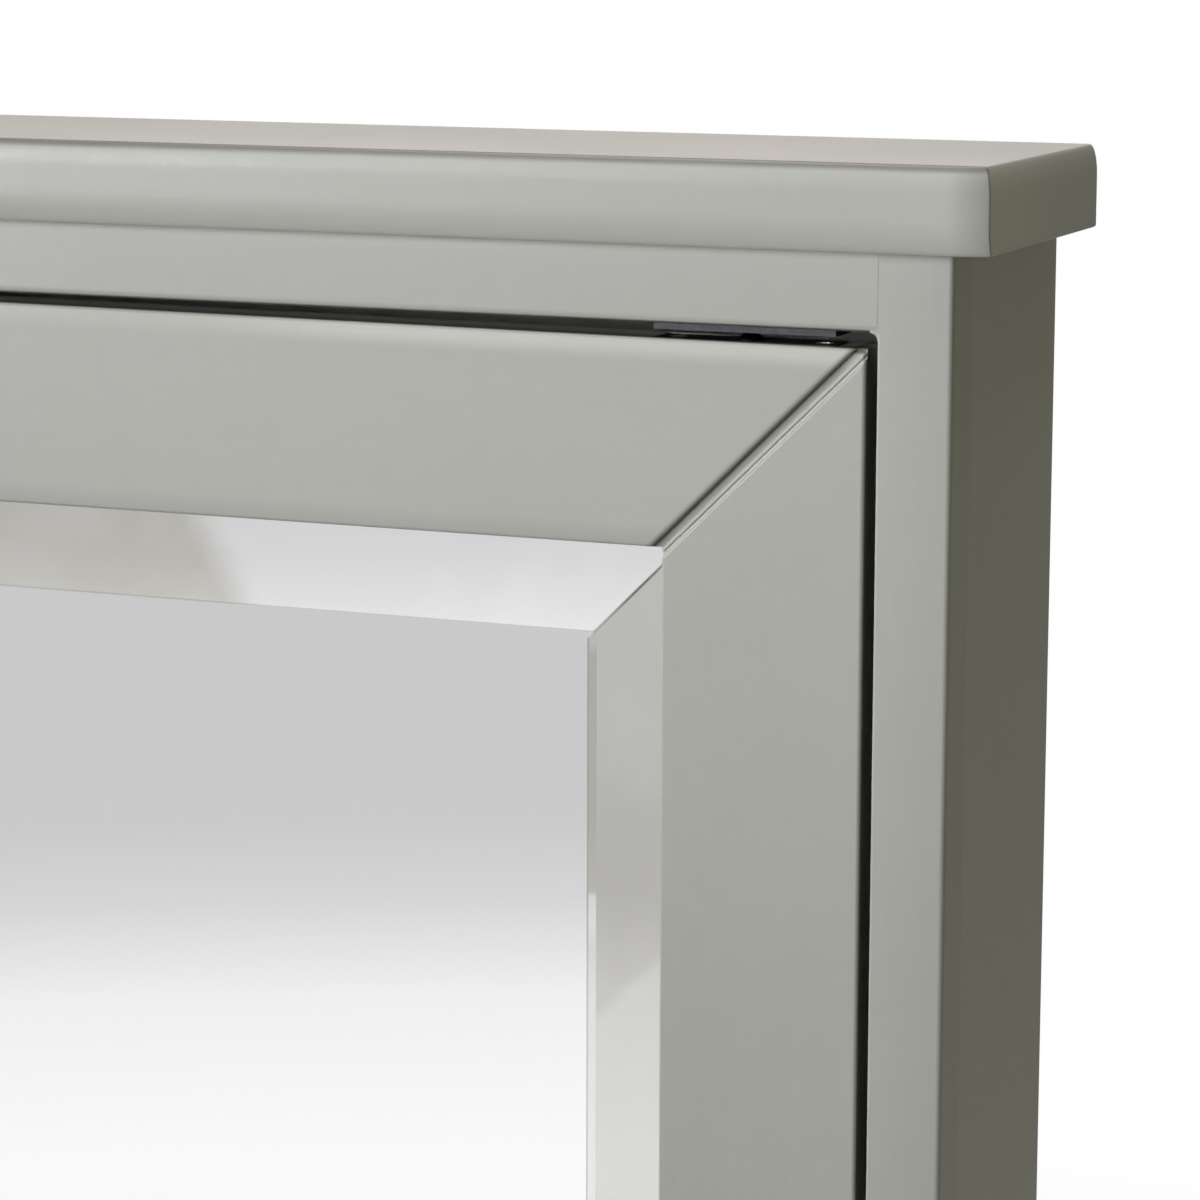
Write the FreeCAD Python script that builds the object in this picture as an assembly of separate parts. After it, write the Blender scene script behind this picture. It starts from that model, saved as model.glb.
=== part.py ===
"""Wall-hung bathroom mirror cabinet with one inset mirror door.

Millimetres. The origin is the middle of the back face, on the wall.
X runs to the right, -Y comes out of the wall towards the user, Z is up.
"""
import FreeCAD, Part
import math
import os

from FreeCAD import Vector

# Case
CASE_WIDTH = 560.0
CASE_HEIGHT = 700.0
CASE_DEPTH = 118.0
PANEL_THICKNESS = 15.0
BACK_THICKNESS = 5.0
BACK_REBATE_WIDTH = 7.0
BACK_CLEARANCE = 0.5

# Cornice board on top of the case
CORNICE_THICKNESS = 28.0
CORNICE_SIDE_OVERHANG = 14.0
CORNICE_FRONT_OVERHANG = 12.0
CORNICE_EDGE_RADIUS = 2.8

# Face frame
FRAME_THICKNESS = 20.0
FRAME_STILE_WIDTH = 25.0
FRAME_TOP_RAIL_HEIGHT = 26.0
FRAME_BOTTOM_RAIL_HEIGHT = 26.0
FRAME_OUTER_EDGE_RADIUS = 1.8
FRAME_INNER_EDGE_RADIUS = 1.0
FRAME_RAIL_EDGE_RADIUS = 2.6

# Hanging rails and the holes for the wall screws
HANGING_RAIL_THICKNESS = 15.0
UPPER_HANGING_RAIL_HEIGHT = 60.0
LOWER_HANGING_RAIL_HEIGHT = 50.0
WALL_HOLE_SPACING = 400.0
WALL_HOLE_RADIUS = 2.75

# Shelves
SHELF_THICKNESS = 12.0
SHELF_DEPTH = 76.0
SHELF_EDGE_RADIUS = 1.5
SHELF_END_CLEARANCE = 0.5
LOWER_SHELF_HEIGHT = 212.0
SHELF_SPACING = 224.0
SHELF_PIN_RADIUS = 2.5
SHELF_PIN_LENGTH = 9.0
SHELF_PIN_INSET = 14.0
SHELF_PIN_TAB_LENGTH = 10.0
SHELF_PIN_TAB_WIDTH = 9.0
SHELF_PIN_TAB_THICKNESS = 1.5
SHELF_HOLE_PITCH = 32.0

# Door frame
DOOR_THICKNESS = 19.0
DOOR_STILE_WIDTH = 69.0
DOOR_RAIL_WIDTH = 71.0
DOOR_HINGE_GAP = 3.3
DOOR_FREE_GAP = 3.5
DOOR_TOP_GAP = 2.1
DOOR_TOP_PLANING = 3.0
DOOR_BOTTOM_GAP = 3.3
DOOR_OUTER_EDGE_RADIUS = 1.4
DOOR_SIGHT_EDGE_RADIUS = 1.0
MITRE_GROOVE_WIDTH = 6.4
MITRE_GROOVE_DEPTH = 1.6
MITRE_WALL_DEPTH = 1.3
MITRE_SHOULDER_RADIUS = 0.9

# Mirror in its rebate
MIRROR_LIP = 9.0
REBATE_WIDTH = 10.0
SETTING_BLOCK_HEIGHT = 1.2
SETTING_BLOCK_LENGTH = 40.0
SETTING_BLOCK_INSET = 60.0
GLASS_THICKNESS = 5.0
GLASS_EDGE_THICKNESS = 2.4
GLASS_SIDE_COVER = 5.0
GLASS_TOP_COVER = 1.4
BEVEL_WIDTH = 34.0
SILVERING_THICKNESS = 0.3
SILVERING_GAP = 0.05
BACKING_THICKNESS = 3.0
CLIP_WIDTH = 14.0
CLIP_THICKNESS = 1.0
CLIP_SEAT = 13.0
CLIP_REACH = 7.0
CLIP_FOOT = 4.0
CLIP_SCREW_LENGTH = 8.0
CLIP_SIDE_SPACING = 200.0

# Loose tongues in the door's mitres
TONGUE_LENGTH = 20.0
TONGUE_WIDTH = 18.0
TONGUE_THICKNESS = 3.0
TONGUE_FROM_SIGHT = 30.0
TONGUE_FRONT_COVER = 4.6

# Butt hinges on the left
HINGE_HEIGHT = 60.0
HINGE_INSET = 95.0
HINGE_LEAF_THICKNESS = 1.3
HINGE_LEAF_DEPTH = 16.0
HINGE_KNUCKLE_RADIUS = 3.0
HINGE_KNUCKLE_STANDOFF = 0.4
HINGE_KNUCKLE_GAP = 0.3
HINGE_PIN_RADIUS = 1.5
HINGE_PIN_HEAD_RADIUS = 2.6
HINGE_PIN_HEAD_HEIGHT = 1.6
HINGE_SCREW_SPACING = 42.0
HINGE_SCREW_LENGTH = 14.0

# Ball catch in the door's top edge, and its strike under the top rail
CATCH_FROM_FREE_EDGE = 42.0
CATCH_PLATE_LENGTH = 62.0
CATCH_PLATE_WIDTH = 14.0
CATCH_PLATE_THICKNESS = 1.5
CATCH_SCREW_SPACING = 50.0
CATCH_SCREW_LENGTH = 10.0
CATCH_BARREL_RADIUS = 6.3
CATCH_BARREL_LENGTH = 26.0
CATCH_BARREL_FLOOR = 1.5
CATCH_BALL_RADIUS = 5.0
CATCH_BALL_TRAVEL = 2.5
CATCH_BALL_TO_STRIKE = 0.35
CATCH_SPRING_WALL = 0.8
CATCH_SPRING_CLEARANCE = 0.4
STRIKE_LENGTH = 62.0
STRIKE_WIDTH = 14.0
STRIKE_THICKNESS = 2.0
STRIKE_HOLE_RADIUS = 3.6
STRIKE_POCKET_DEPTH = 4.0
STRIKE_SCREW_SPACING = 50.0
STRIKE_SCREW_LENGTH = 11.0

# Door stop behind the right frame stile
STOP_REACH = 8.0
STOP_THICKNESS = 9.0
STOP_EDGE_RADIUS = 1.2
STOP_END_INSET = 45.0
BUMPER_RADIUS = 3.0
BUMPER_THICKNESS = 0.7
BUMPER_END_INSET = 40.0

# Knob on the right door stile
KNOB_HEIGHT = 318.0
KNOB_BASE_RADIUS = 8.0
KNOB_BASE_HEIGHT = 3.0
KNOB_NECK_RADIUS = 5.5
KNOB_NECK_HEIGHT = 9.0
KNOB_HEAD_RADIUS = 13.0
KNOB_HEAD_HEIGHT = 12.0
KNOB_EDGE_RADIUS = 4.0
KNOB_SCREW_RADIUS = 2.0
KNOB_SCREW_ENGAGEMENT = 11.0
KNOB_SCREW_HEAD_RADIUS = 4.2
KNOB_SCREW_HEAD_HEIGHT = 2.2

# Dowels, screws and nails
DOWEL_RADIUS = 3.0
DOWEL_LENGTH = 28.0
DOWEL_IN_SIDE = 10.0
CASE_DOWEL_FRONT_INSET = 22.0
CASE_DOWEL_BACK_INSET = 28.0
FRAME_DOWEL_SPACING = 12.0
FRAME_DOWEL_IN_STILE = 13.0
RAIL_DOWEL_SPACING = 26.0
SCREW_RADIUS = 1.6
SCREW_HEAD_RADIUS = 3.0
SCREW_HEAD_HEIGHT = 1.2
PAN_HEAD_HEIGHT = 1.6
CORNICE_SCREW_LENGTH = 34.0
CORNICE_SCREW_INSET = 70.0
CORNICE_SCREW_FRONT_INSET = 24.0
CORNICE_SCREW_BACK_INSET = 40.0
NAIL_RADIUS = 0.8
NAIL_LENGTH = 18.0
NAIL_HEAD_RADIUS = 1.8
NAIL_HEAD_HEIGHT = 0.8
NAIL_SPACING = 125.0

# Clearances
FASTENER_CLEARANCE = 0.1
RUNNING_CLEARANCE = 0.06
SEAT_CLEARANCE = 0.2
CUTTER_MARGIN = 1.0

# Places worked out from the sizes above
TOTAL_HEIGHT = CASE_HEIGHT + CORNICE_THICKNESS
Z_BOTTOM = -TOTAL_HEIGHT / 2
Z_CASE_TOP = Z_BOTTOM + CASE_HEIGHT
X_SIDE = CASE_WIDTH / 2
X_INSIDE = X_SIDE - PANEL_THICKNESS
Y_FRONT = -CASE_DEPTH
Y_FRAME_BACK = Y_FRONT + FRAME_THICKNESS
Y_BACK_PANEL = -BACK_THICKNESS
Z_FLOOR = Z_BOTTOM + PANEL_THICKNESS
Z_CEILING = Z_CASE_TOP - PANEL_THICKNESS

X_OPENING = X_SIDE - FRAME_STILE_WIDTH
Z_OPENING_TOP = Z_CASE_TOP - FRAME_TOP_RAIL_HEIGHT
Z_OPENING_BOTTOM = Z_BOTTOM + FRAME_BOTTOM_RAIL_HEIGHT

X_DOOR_HINGE = -X_OPENING + DOOR_HINGE_GAP
X_DOOR_FREE = X_OPENING - DOOR_FREE_GAP
DOOR_WIDTH = X_DOOR_FREE - X_DOOR_HINGE
Z_DOOR_TOP = Z_OPENING_TOP - DOOR_TOP_GAP
Z_DOOR_TOP_FREE = Z_DOOR_TOP - DOOR_TOP_PLANING
Z_DOOR_BOTTOM = Z_OPENING_BOTTOM + DOOR_BOTTOM_GAP
Y_DOOR_BACK = Y_FRONT + DOOR_THICKNESS
X_SIGHT_LEFT = X_DOOR_HINGE + DOOR_STILE_WIDTH
X_SIGHT_RIGHT = X_DOOR_FREE - DOOR_STILE_WIDTH
Z_SIGHT_TOP = Z_DOOR_TOP - DOOR_RAIL_WIDTH
Z_SIGHT_BOTTOM = Z_DOOR_BOTTOM + DOOR_RAIL_WIDTH

Y_GLASS_FRONT = Y_FRONT + MIRROR_LIP
Y_GLASS_BACK = Y_GLASS_FRONT + GLASS_THICKNESS
Y_SILVERING = Y_GLASS_BACK + SILVERING_GAP
Y_BACKING = Y_SILVERING + SILVERING_THICKNESS
Y_BACKING_BACK = Y_BACKING + BACKING_THICKNESS
X_GLASS_LEFT = X_SIGHT_LEFT - GLASS_SIDE_COVER
X_GLASS_RIGHT = X_SIGHT_RIGHT + GLASS_SIDE_COVER
Z_GLASS_TOP = Z_SIGHT_TOP + GLASS_TOP_COVER
Z_GLASS_BOTTOM = Z_SIGHT_BOTTOM - REBATE_WIDTH + SETTING_BLOCK_HEIGHT

X_HINGE = -X_OPENING + DOOR_HINGE_GAP / 2
Y_HINGE = Y_FRONT - HINGE_KNUCKLE_RADIUS - HINGE_KNUCKLE_STANDOFF
HINGE_CENTRES = {"upper": Z_DOOR_TOP - HINGE_INSET, "lower": Z_DOOR_BOTTOM + HINGE_INSET}

X_CATCH = X_DOOR_FREE - CATCH_FROM_FREE_EDGE
Y_CATCH = Y_FRONT + DOOR_THICKNESS / 2
Z_CATCH = Z_DOOR_TOP - DOOR_TOP_PLANING * (X_CATCH - X_DOOR_HINGE) / DOOR_WIDTH
Z_STRIKE = Z_OPENING_TOP - STRIKE_THICKNESS
Z_BALL = Z_STRIKE - CATCH_BALL_TO_STRIKE - CATCH_BALL_RADIUS

X_KNOB = X_DOOR_FREE - DOOR_STILE_WIDTH / 2
Z_KNOB = Z_DOOR_BOTTOM + KNOB_HEIGHT

Z_UPPER_RAIL = Z_CEILING - UPPER_HANGING_RAIL_HEIGHT / 2
Z_LOWER_RAIL = Z_FLOOR + LOWER_HANGING_RAIL_HEIGHT / 2
SHELF_BOTTOMS = [Z_FLOOR + LOWER_SHELF_HEIGHT, Z_FLOOR + LOWER_SHELF_HEIGHT + SHELF_SPACING]
Y_SHELF_BACK = Y_BACK_PANEL - SHELF_END_CLEARANCE
Y_SHELF_PINS = [Y_SHELF_BACK - SHELF_PIN_INSET, Y_SHELF_BACK - SHELF_DEPTH + SHELF_PIN_INSET]

ALONG_X = Vector(1, 0, 0)
ALONG_Y = Vector(0, 1, 0)
ALONG_Z = Vector(0, 0, 1)


def block(x, y, z):
    """Box between two values on each axis."""
    size = (x[1] - x[0], y[1] - y[0], z[1] - z[0])
    return Part.makeBox(*size, Vector(x[0], y[0], z[0]))


def rod(radius, length, start, direction):
    """Cylinder from a start point along a direction."""
    return Part.makeCylinder(radius, length, start, direction)


def plate_xz(corners, y_front, y_back):
    """Flat plate with an outline of (x, z) corners, between two depths."""
    points = [Vector(x, y_front, z) for x, z in corners]
    face = Part.Face(Part.makePolygon(points + points[:1]))
    return face.extrude(Vector(0, y_back - y_front, 0))


def cut(shape, cutters):
    """Shape with a list of cutters taken away."""
    return shape.cut(Part.makeCompound(cutters)) if cutters else shape


def group(solids):
    """Several separate solids of one node."""
    return Part.makeCompound(solids)


def ease_edges(shape, radius, chosen):
    """Round the edges that a test of their two ends chooses."""
    edges = [e for e in shape.Edges if chosen(e.Vertexes[0].Point, e.Vertexes[-1].Point)]
    return shape.makeFillet(radius, edges)


def screw(start, direction, length):
    """Countersunk screw, its flat head's top at the start point."""
    head = Part.makeCone(SCREW_HEAD_RADIUS, SCREW_RADIUS, SCREW_HEAD_HEIGHT, start, direction)
    return head.fuse(rod(SCREW_RADIUS, length, start, direction)).removeSplitter()


def screw_hole(start, direction, length):
    """Hole that a countersunk screw sits in."""
    wide = SCREW_HEAD_RADIUS + FASTENER_CLEARANCE
    narrow = SCREW_RADIUS + FASTENER_CLEARANCE
    sink = Part.makeCone(wide, narrow, SCREW_HEAD_HEIGHT + FASTENER_CLEARANCE, start, direction)
    return sink.fuse(rod(narrow, length + FASTENER_CLEARANCE, start, direction))


def dowel(start, direction):
    """Plain wooden dowel."""
    return rod(DOWEL_RADIUS, DOWEL_LENGTH, start, direction)


def dowel_hole(start, direction):
    """Hole for a dowel, deeper by the clearance at both ends."""
    origin = start - direction * FASTENER_CLEARANCE
    return rod(DOWEL_RADIUS + FASTENER_CLEARANCE, DOWEL_LENGTH + 2 * FASTENER_CLEARANCE, origin, direction)


# Dowels between the case's panels and its sides
def case_dowel_places():
    """Start and direction of every dowel in the case's panels and hanging rails."""
    places = []
    y_rail = Y_BACK_PANEL - HANGING_RAIL_THICKNESS / 2
    spots = []
    for z in (Z_BOTTOM + PANEL_THICKNESS / 2, Z_CASE_TOP - PANEL_THICKNESS / 2):
        spots += [(Y_FRAME_BACK + CASE_DOWEL_FRONT_INSET, z), (Y_BACK_PANEL - CASE_DOWEL_BACK_INSET, z)]
    for z in (Z_UPPER_RAIL, Z_LOWER_RAIL):
        spots += [(y_rail, z - RAIL_DOWEL_SPACING / 2), (y_rail, z + RAIL_DOWEL_SPACING / 2)]
    for side in (-1, 1):
        for y, z in spots:
            start = Vector(side * (X_INSIDE + DOWEL_IN_SIDE), y, z)
            places.append((start, Vector(-side, 0, 0)))
    return places


def frame_dowel_places():
    """Start and direction of every dowel between the frame's rails and stiles."""
    places = []
    y = Y_FRONT + FRAME_THICKNESS / 2
    rails = (Z_CASE_TOP - FRAME_TOP_RAIL_HEIGHT / 2, Z_BOTTOM + FRAME_BOTTOM_RAIL_HEIGHT / 2)
    for side in (-1, 1):
        for z in rails:
            for offset in (-FRAME_DOWEL_SPACING / 2, FRAME_DOWEL_SPACING / 2):
                start = Vector(side * (X_OPENING + FRAME_DOWEL_IN_STILE), y, z + offset)
                places.append((start, Vector(-side, 0, 0)))
    return places


def cornice_screw_places():
    """Start of each screw that goes up through the top panel into the cornice."""
    ys = (Y_FRAME_BACK + CORNICE_SCREW_FRONT_INSET, Y_BACK_PANEL - CORNICE_SCREW_BACK_INSET)
    xs = (-X_INSIDE + CORNICE_SCREW_INSET, X_INSIDE - CORNICE_SCREW_INSET)
    return [Vector(x, y, Z_CEILING) for x in xs for y in ys]


def nail_places():
    """Place of each nail in the back panel: along the sides and along the top and bottom."""
    x_side = X_INSIDE + (BACK_REBATE_WIDTH - BACK_CLEARANCE) / 2
    count_up = max(2, int(CASE_HEIGHT / NAIL_SPACING))
    count_across = max(1, int(CASE_WIDTH / NAIL_SPACING))
    step_up = CASE_HEIGHT / count_up
    step_across = 2 * X_INSIDE / count_across
    places = []
    for i in range(count_up):
        z = Z_BOTTOM + (i + 0.5) * step_up
        places += [Vector(-x_side, 0, z), Vector(x_side, 0, z)]
    for i in range(count_across):
        x = -X_INSIDE + (i + 0.5) * step_across
        for z in (Z_BOTTOM + PANEL_THICKNESS / 2, Z_CASE_TOP - PANEL_THICKNESS / 2):
            places.append(Vector(x, 0, z))
    return places


def nail(place):
    """Nail driven forwards from the back panel's rear face."""
    head = rod(NAIL_HEAD_RADIUS, NAIL_HEAD_HEIGHT, place, -ALONG_Y)
    return head.fuse(rod(NAIL_RADIUS, NAIL_LENGTH, place, -ALONG_Y)).removeSplitter()


def nail_hole(place):
    """Hole that a nail sits in."""
    room = FASTENER_CLEARANCE
    head = rod(NAIL_HEAD_RADIUS + room, NAIL_HEAD_HEIGHT + room, place, -ALONG_Y)
    return head.fuse(rod(NAIL_RADIUS + room, NAIL_LENGTH + room, place, -ALONG_Y))


CASE_DOWELS = case_dowel_places()
FRAME_DOWELS = frame_dowel_places()
CORNICE_SCREWS = cornice_screw_places()
NAILS = nail_places()
CASE_DOWEL_HOLES = [dowel_hole(*place) for place in CASE_DOWELS]
FRAME_DOWEL_HOLES = [dowel_hole(*place) for place in FRAME_DOWELS]
CORNICE_SCREW_HOLES = [screw_hole(place, ALONG_Z, CORNICE_SCREW_LENGTH) for place in CORNICE_SCREWS]
NAIL_HOLES = [nail_hole(place) for place in NAILS]


# Case
def cornice():
    """Top board that overhangs the front and both sides, with soft edges."""
    x = X_SIDE + CORNICE_SIDE_OVERHANG
    y_front = Y_FRONT - CORNICE_FRONT_OVERHANG
    board = block((-x, x), (y_front, 0), (Z_CASE_TOP, Z_CASE_TOP + CORNICE_THICKNESS))
    board = ease_edges(board, CORNICE_EDGE_RADIUS, lambda a, b: min(a.y, b.y) < y_front / 2)
    return cut(board, CORNICE_SCREW_HOLES)


def shelf_holes(side):
    """Holes for the shelf pins: one above and one below each one in use."""
    depth = SHELF_PIN_LENGTH + FASTENER_CLEARANCE
    holes = []
    for bottom in SHELF_BOTTOMS:
        for step in (-1, 0, 1):
            for y in Y_SHELF_PINS:
                z = bottom - SHELF_PIN_TAB_THICKNESS - SHELF_PIN_RADIUS + step * SHELF_HOLE_PITCH
                start = Vector(side * X_INSIDE, y, z)
                holes.append(rod(SHELF_PIN_RADIUS + FASTENER_CLEARANCE, depth, start, ALONG_X * side))
    return holes


def side_panel(side):
    """Side of the case behind the face frame, rebated for the back panel."""
    panel = block(
        sorted((side * X_INSIDE, side * X_SIDE)), (Y_FRAME_BACK, 0), (Z_BOTTOM, Z_CASE_TOP))
    rebate = block(
        sorted((side * (X_INSIDE - CUTTER_MARGIN), side * (X_INSIDE + BACK_REBATE_WIDTH))),
        (Y_BACK_PANEL, CUTTER_MARGIN), (Z_BOTTOM - CUTTER_MARGIN, Z_CASE_TOP + CUTTER_MARGIN))
    return cut(panel, [rebate] + CASE_DOWEL_HOLES + NAIL_HOLES + shelf_holes(side))


def top_panel():
    """Ceiling of the case, between the sides."""
    panel = block((-X_INSIDE, X_INSIDE), (Y_FRAME_BACK, Y_BACK_PANEL), (Z_CEILING, Z_CASE_TOP))
    return cut(panel, CASE_DOWEL_HOLES + CORNICE_SCREW_HOLES + NAIL_HOLES)


def bottom_panel():
    """Floor of the case, between the sides."""
    panel = block((-X_INSIDE, X_INSIDE), (Y_FRAME_BACK, Y_BACK_PANEL), (Z_BOTTOM, Z_FLOOR))
    return cut(panel, CASE_DOWEL_HOLES + NAIL_HOLES)


def wall_holes():
    """Holes for the four wall screws, through both hanging rails and the back panel."""
    length = HANGING_RAIL_THICKNESS + BACK_THICKNESS + 2 * CUTTER_MARGIN
    y_start = Y_BACK_PANEL - HANGING_RAIL_THICKNESS - CUTTER_MARGIN
    return [
        rod(WALL_HOLE_RADIUS, length, Vector(side * WALL_HOLE_SPACING / 2, y_start, z), ALONG_Y)
        for side in (-1, 1) for z in (Z_UPPER_RAIL, Z_LOWER_RAIL)]


def back_panel():
    """Thin back in the rebates of the sides."""
    x = X_INSIDE + BACK_REBATE_WIDTH - BACK_CLEARANCE
    panel = block((-x, x), (Y_BACK_PANEL, 0), (Z_BOTTOM + BACK_CLEARANCE, Z_CASE_TOP - BACK_CLEARANCE))
    return cut(panel, NAIL_HOLES + wall_holes())


def hanging_rail(z_middle, height):
    """Batten across the inside of the back that takes the wall screws."""
    rail = block(
        (-X_INSIDE, X_INSIDE), (Y_BACK_PANEL - HANGING_RAIL_THICKNESS, Y_BACK_PANEL),
        (z_middle - height / 2, z_middle + height / 2))
    return cut(rail, CASE_DOWEL_HOLES + wall_holes())


def shelf(z_bottom):
    """Loose shelf on its pins."""
    x = X_INSIDE - SHELF_END_CLEARANCE
    y_front = Y_SHELF_BACK - SHELF_DEPTH
    board = block((-x, x), (y_front, Y_SHELF_BACK), (z_bottom, z_bottom + SHELF_THICKNESS))
    return ease_edges(board, SHELF_EDGE_RADIUS, lambda a, b: max(a.y, b.y) < y_front + 1e-6)


def shelf_pins():
    """Pegs with a flat tab under each end of both shelves."""
    pins = []
    half = SHELF_PIN_TAB_WIDTH / 2
    for side in (-1, 1):
        tab_x = sorted((side * X_INSIDE, side * (X_INSIDE - SHELF_PIN_TAB_LENGTH)))
        for bottom in SHELF_BOTTOMS:
            for y in Y_SHELF_PINS:
                tab = block(tab_x, (y - half, y + half), (bottom - SHELF_PIN_TAB_THICKNESS, bottom))
                z_peg = bottom - SHELF_PIN_TAB_THICKNESS - SHELF_PIN_RADIUS
                inner = Vector(side * (X_INSIDE - SHELF_PIN_TAB_LENGTH), y, z_peg)
                peg = rod(SHELF_PIN_RADIUS, SHELF_PIN_TAB_LENGTH + SHELF_PIN_LENGTH, inner, ALONG_X * side)
                web = block(tab_x, (y - SHELF_PIN_RADIUS / 2, y + SHELF_PIN_RADIUS / 2),
                            (z_peg, bottom - SHELF_PIN_TAB_THICKNESS))
                pins.append(tab.fuse([peg, web]).removeSplitter())
    return group(pins)


# Face frame
def opening_edge_cutter(side):
    """Waste outside the rounded inner edge of a stile, along the opening only."""
    r = FRAME_INNER_EDGE_RADIUS
    x = side * X_OPENING
    z = (Z_OPENING_BOTTOM, Z_OPENING_TOP)
    across = sorted((x - side * CUTTER_MARGIN, x + side * r))
    corner = block(across, (Y_FRONT - CUTTER_MARGIN, Y_FRONT + r), z)
    round_edge = rod(r, z[1] - z[0], Vector(x + side * r, Y_FRONT + r, z[0]), ALONG_Z)
    return corner.cut(round_edge)


def hinge_screw_places(z_middle):
    """Heights of a hinge's screws, and their depth in the leaf."""
    y = Y_FRONT + HINGE_LEAF_DEPTH / 2
    return [(y, z_middle - HINGE_SCREW_SPACING / 2), (y, z_middle), (y, z_middle + HINGE_SCREW_SPACING / 2)]


def frame_hinge_screws(shape):
    """Screws, or the holes for them, from the gap into the left frame stile."""
    x = -X_OPENING + HINGE_LEAF_THICKNESS
    return [
        shape(Vector(x, y, z), -ALONG_X, HINGE_SCREW_LENGTH)
        for middle in HINGE_CENTRES.values() for y, z in hinge_screw_places(middle)]


def door_hinge_screws(shape):
    """Screws, or the holes for them, from the gap into the door's hinge stile."""
    x = X_DOOR_HINGE - HINGE_LEAF_THICKNESS
    return [
        shape(Vector(x, y, z), ALONG_X, HINGE_SCREW_LENGTH)
        for middle in HINGE_CENTRES.values() for y, z in hinge_screw_places(middle)]


def frame_stile(side):
    """Full-height stile of the face frame."""
    x_outer = side * X_SIDE
    stile = block(sorted((side * X_OPENING, x_outer)), (Y_FRONT, Y_FRAME_BACK), (Z_BOTTOM, Z_CASE_TOP))
    def outer_front(a, b):
        return all(abs(p.x - x_outer) < 1e-6 and abs(p.y - Y_FRONT) < 1e-6 for p in (a, b))
    stile = ease_edges(stile, FRAME_OUTER_EDGE_RADIUS, outer_front)
    cutters = FRAME_DOWEL_HOLES + [opening_edge_cutter(side)]
    if side < 0:
        cutters = cutters + frame_hinge_screws(screw_hole)
    return cut(stile, cutters)


def frame_rail(z_opening, z_far):
    """Rail of the face frame, between the stiles, eased towards the opening."""
    rail = block((-X_OPENING, X_OPENING), (Y_FRONT, Y_FRAME_BACK), sorted((z_opening, z_far)))
    def opening_front(a, b):
        return all(abs(p.z - z_opening) < 1e-6 and abs(p.y - Y_FRONT) < 1e-6 for p in (a, b))
    return cut(ease_edges(rail, FRAME_RAIL_EDGE_RADIUS, opening_front), FRAME_DOWEL_HOLES)


def frame_top_rail():
    """Top rail, bored for the strike's screws and for the ball."""
    pocket = rod(STRIKE_HOLE_RADIUS, STRIKE_POCKET_DEPTH, Vector(X_CATCH, Y_CATCH, Z_OPENING_TOP), ALONG_Z)
    return cut(frame_rail(Z_OPENING_TOP, Z_CASE_TOP), [pocket] + strike_screws(screw_hole))


# Strike plate of the catch
def strike_screws(shape):
    """Screws, or the holes for them, up through the strike into the top rail."""
    xs = (X_CATCH - STRIKE_SCREW_SPACING / 2, X_CATCH + STRIKE_SCREW_SPACING / 2)
    return [shape(Vector(x, Y_CATCH, Z_STRIKE), ALONG_Z, STRIKE_SCREW_LENGTH) for x in xs]


def strike_plate():
    """Plate under the top rail with the hole that the ball drops into."""
    plate = block(
        (X_CATCH - STRIKE_LENGTH / 2, X_CATCH + STRIKE_LENGTH / 2),
        (Y_CATCH - STRIKE_WIDTH / 2, Y_CATCH + STRIKE_WIDTH / 2), (Z_STRIKE, Z_OPENING_TOP))
    start = Vector(X_CATCH, Y_CATCH, Z_STRIKE - CUTTER_MARGIN)
    hole = rod(STRIKE_HOLE_RADIUS, STRIKE_THICKNESS + 2 * CUTTER_MARGIN, start, ALONG_Z)
    return cut(plate, [hole] + strike_screws(screw_hole))


# Door stop
def door_stop():
    """Strip behind the right stile that the closed door comes up to."""
    strip = block(
        (X_OPENING - STOP_REACH, X_INSIDE), (Y_FRAME_BACK, Y_FRAME_BACK + STOP_THICKNESS),
        (Z_OPENING_BOTTOM + STOP_END_INSET, Z_OPENING_TOP - STOP_END_INSET))
    return ease_edges(strip, STOP_EDGE_RADIUS, lambda a, b: max(a.x, b.x) < X_OPENING - STOP_REACH + 1e-6)


def bumpers():
    """Soft dots on the stop, under the door's free edge."""
    x = X_DOOR_FREE - (X_DOOR_FREE - X_OPENING + STOP_REACH) / 2
    inset = STOP_END_INSET + BUMPER_END_INSET
    return group([
        rod(BUMPER_RADIUS, BUMPER_THICKNESS, Vector(x, Y_FRAME_BACK, z), -ALONG_Y)
        for z in (Z_OPENING_BOTTOM + inset, Z_OPENING_TOP - inset)])


# Door frame
DOOR_OUTER = {
    "bottom_left": (X_DOOR_HINGE, Z_DOOR_BOTTOM), "bottom_right": (X_DOOR_FREE, Z_DOOR_BOTTOM),
    "top_right": (X_DOOR_FREE, Z_DOOR_TOP_FREE), "top_left": (X_DOOR_HINGE, Z_DOOR_TOP)}
DOOR_SIGHT = {
    "bottom_left": (X_SIGHT_LEFT, Z_SIGHT_BOTTOM), "bottom_right": (X_SIGHT_RIGHT, Z_SIGHT_BOTTOM),
    "top_right": (X_SIGHT_RIGHT, Z_SIGHT_TOP), "top_left": (X_SIGHT_LEFT, Z_SIGHT_TOP)}


def mitre_line(corner):
    """Sight corner of a mitre and its unit direction outwards, on the door's front."""
    x_out, z_out = DOOR_OUTER[corner]
    x_in, z_in = DOOR_SIGHT[corner]
    inner = Vector(x_in, Y_FRONT, z_in)
    along = Vector(x_out, Y_FRONT, z_out) - inner
    return inner, along.normalize(), math.hypot(x_out - x_in, z_out - z_in)


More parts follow.
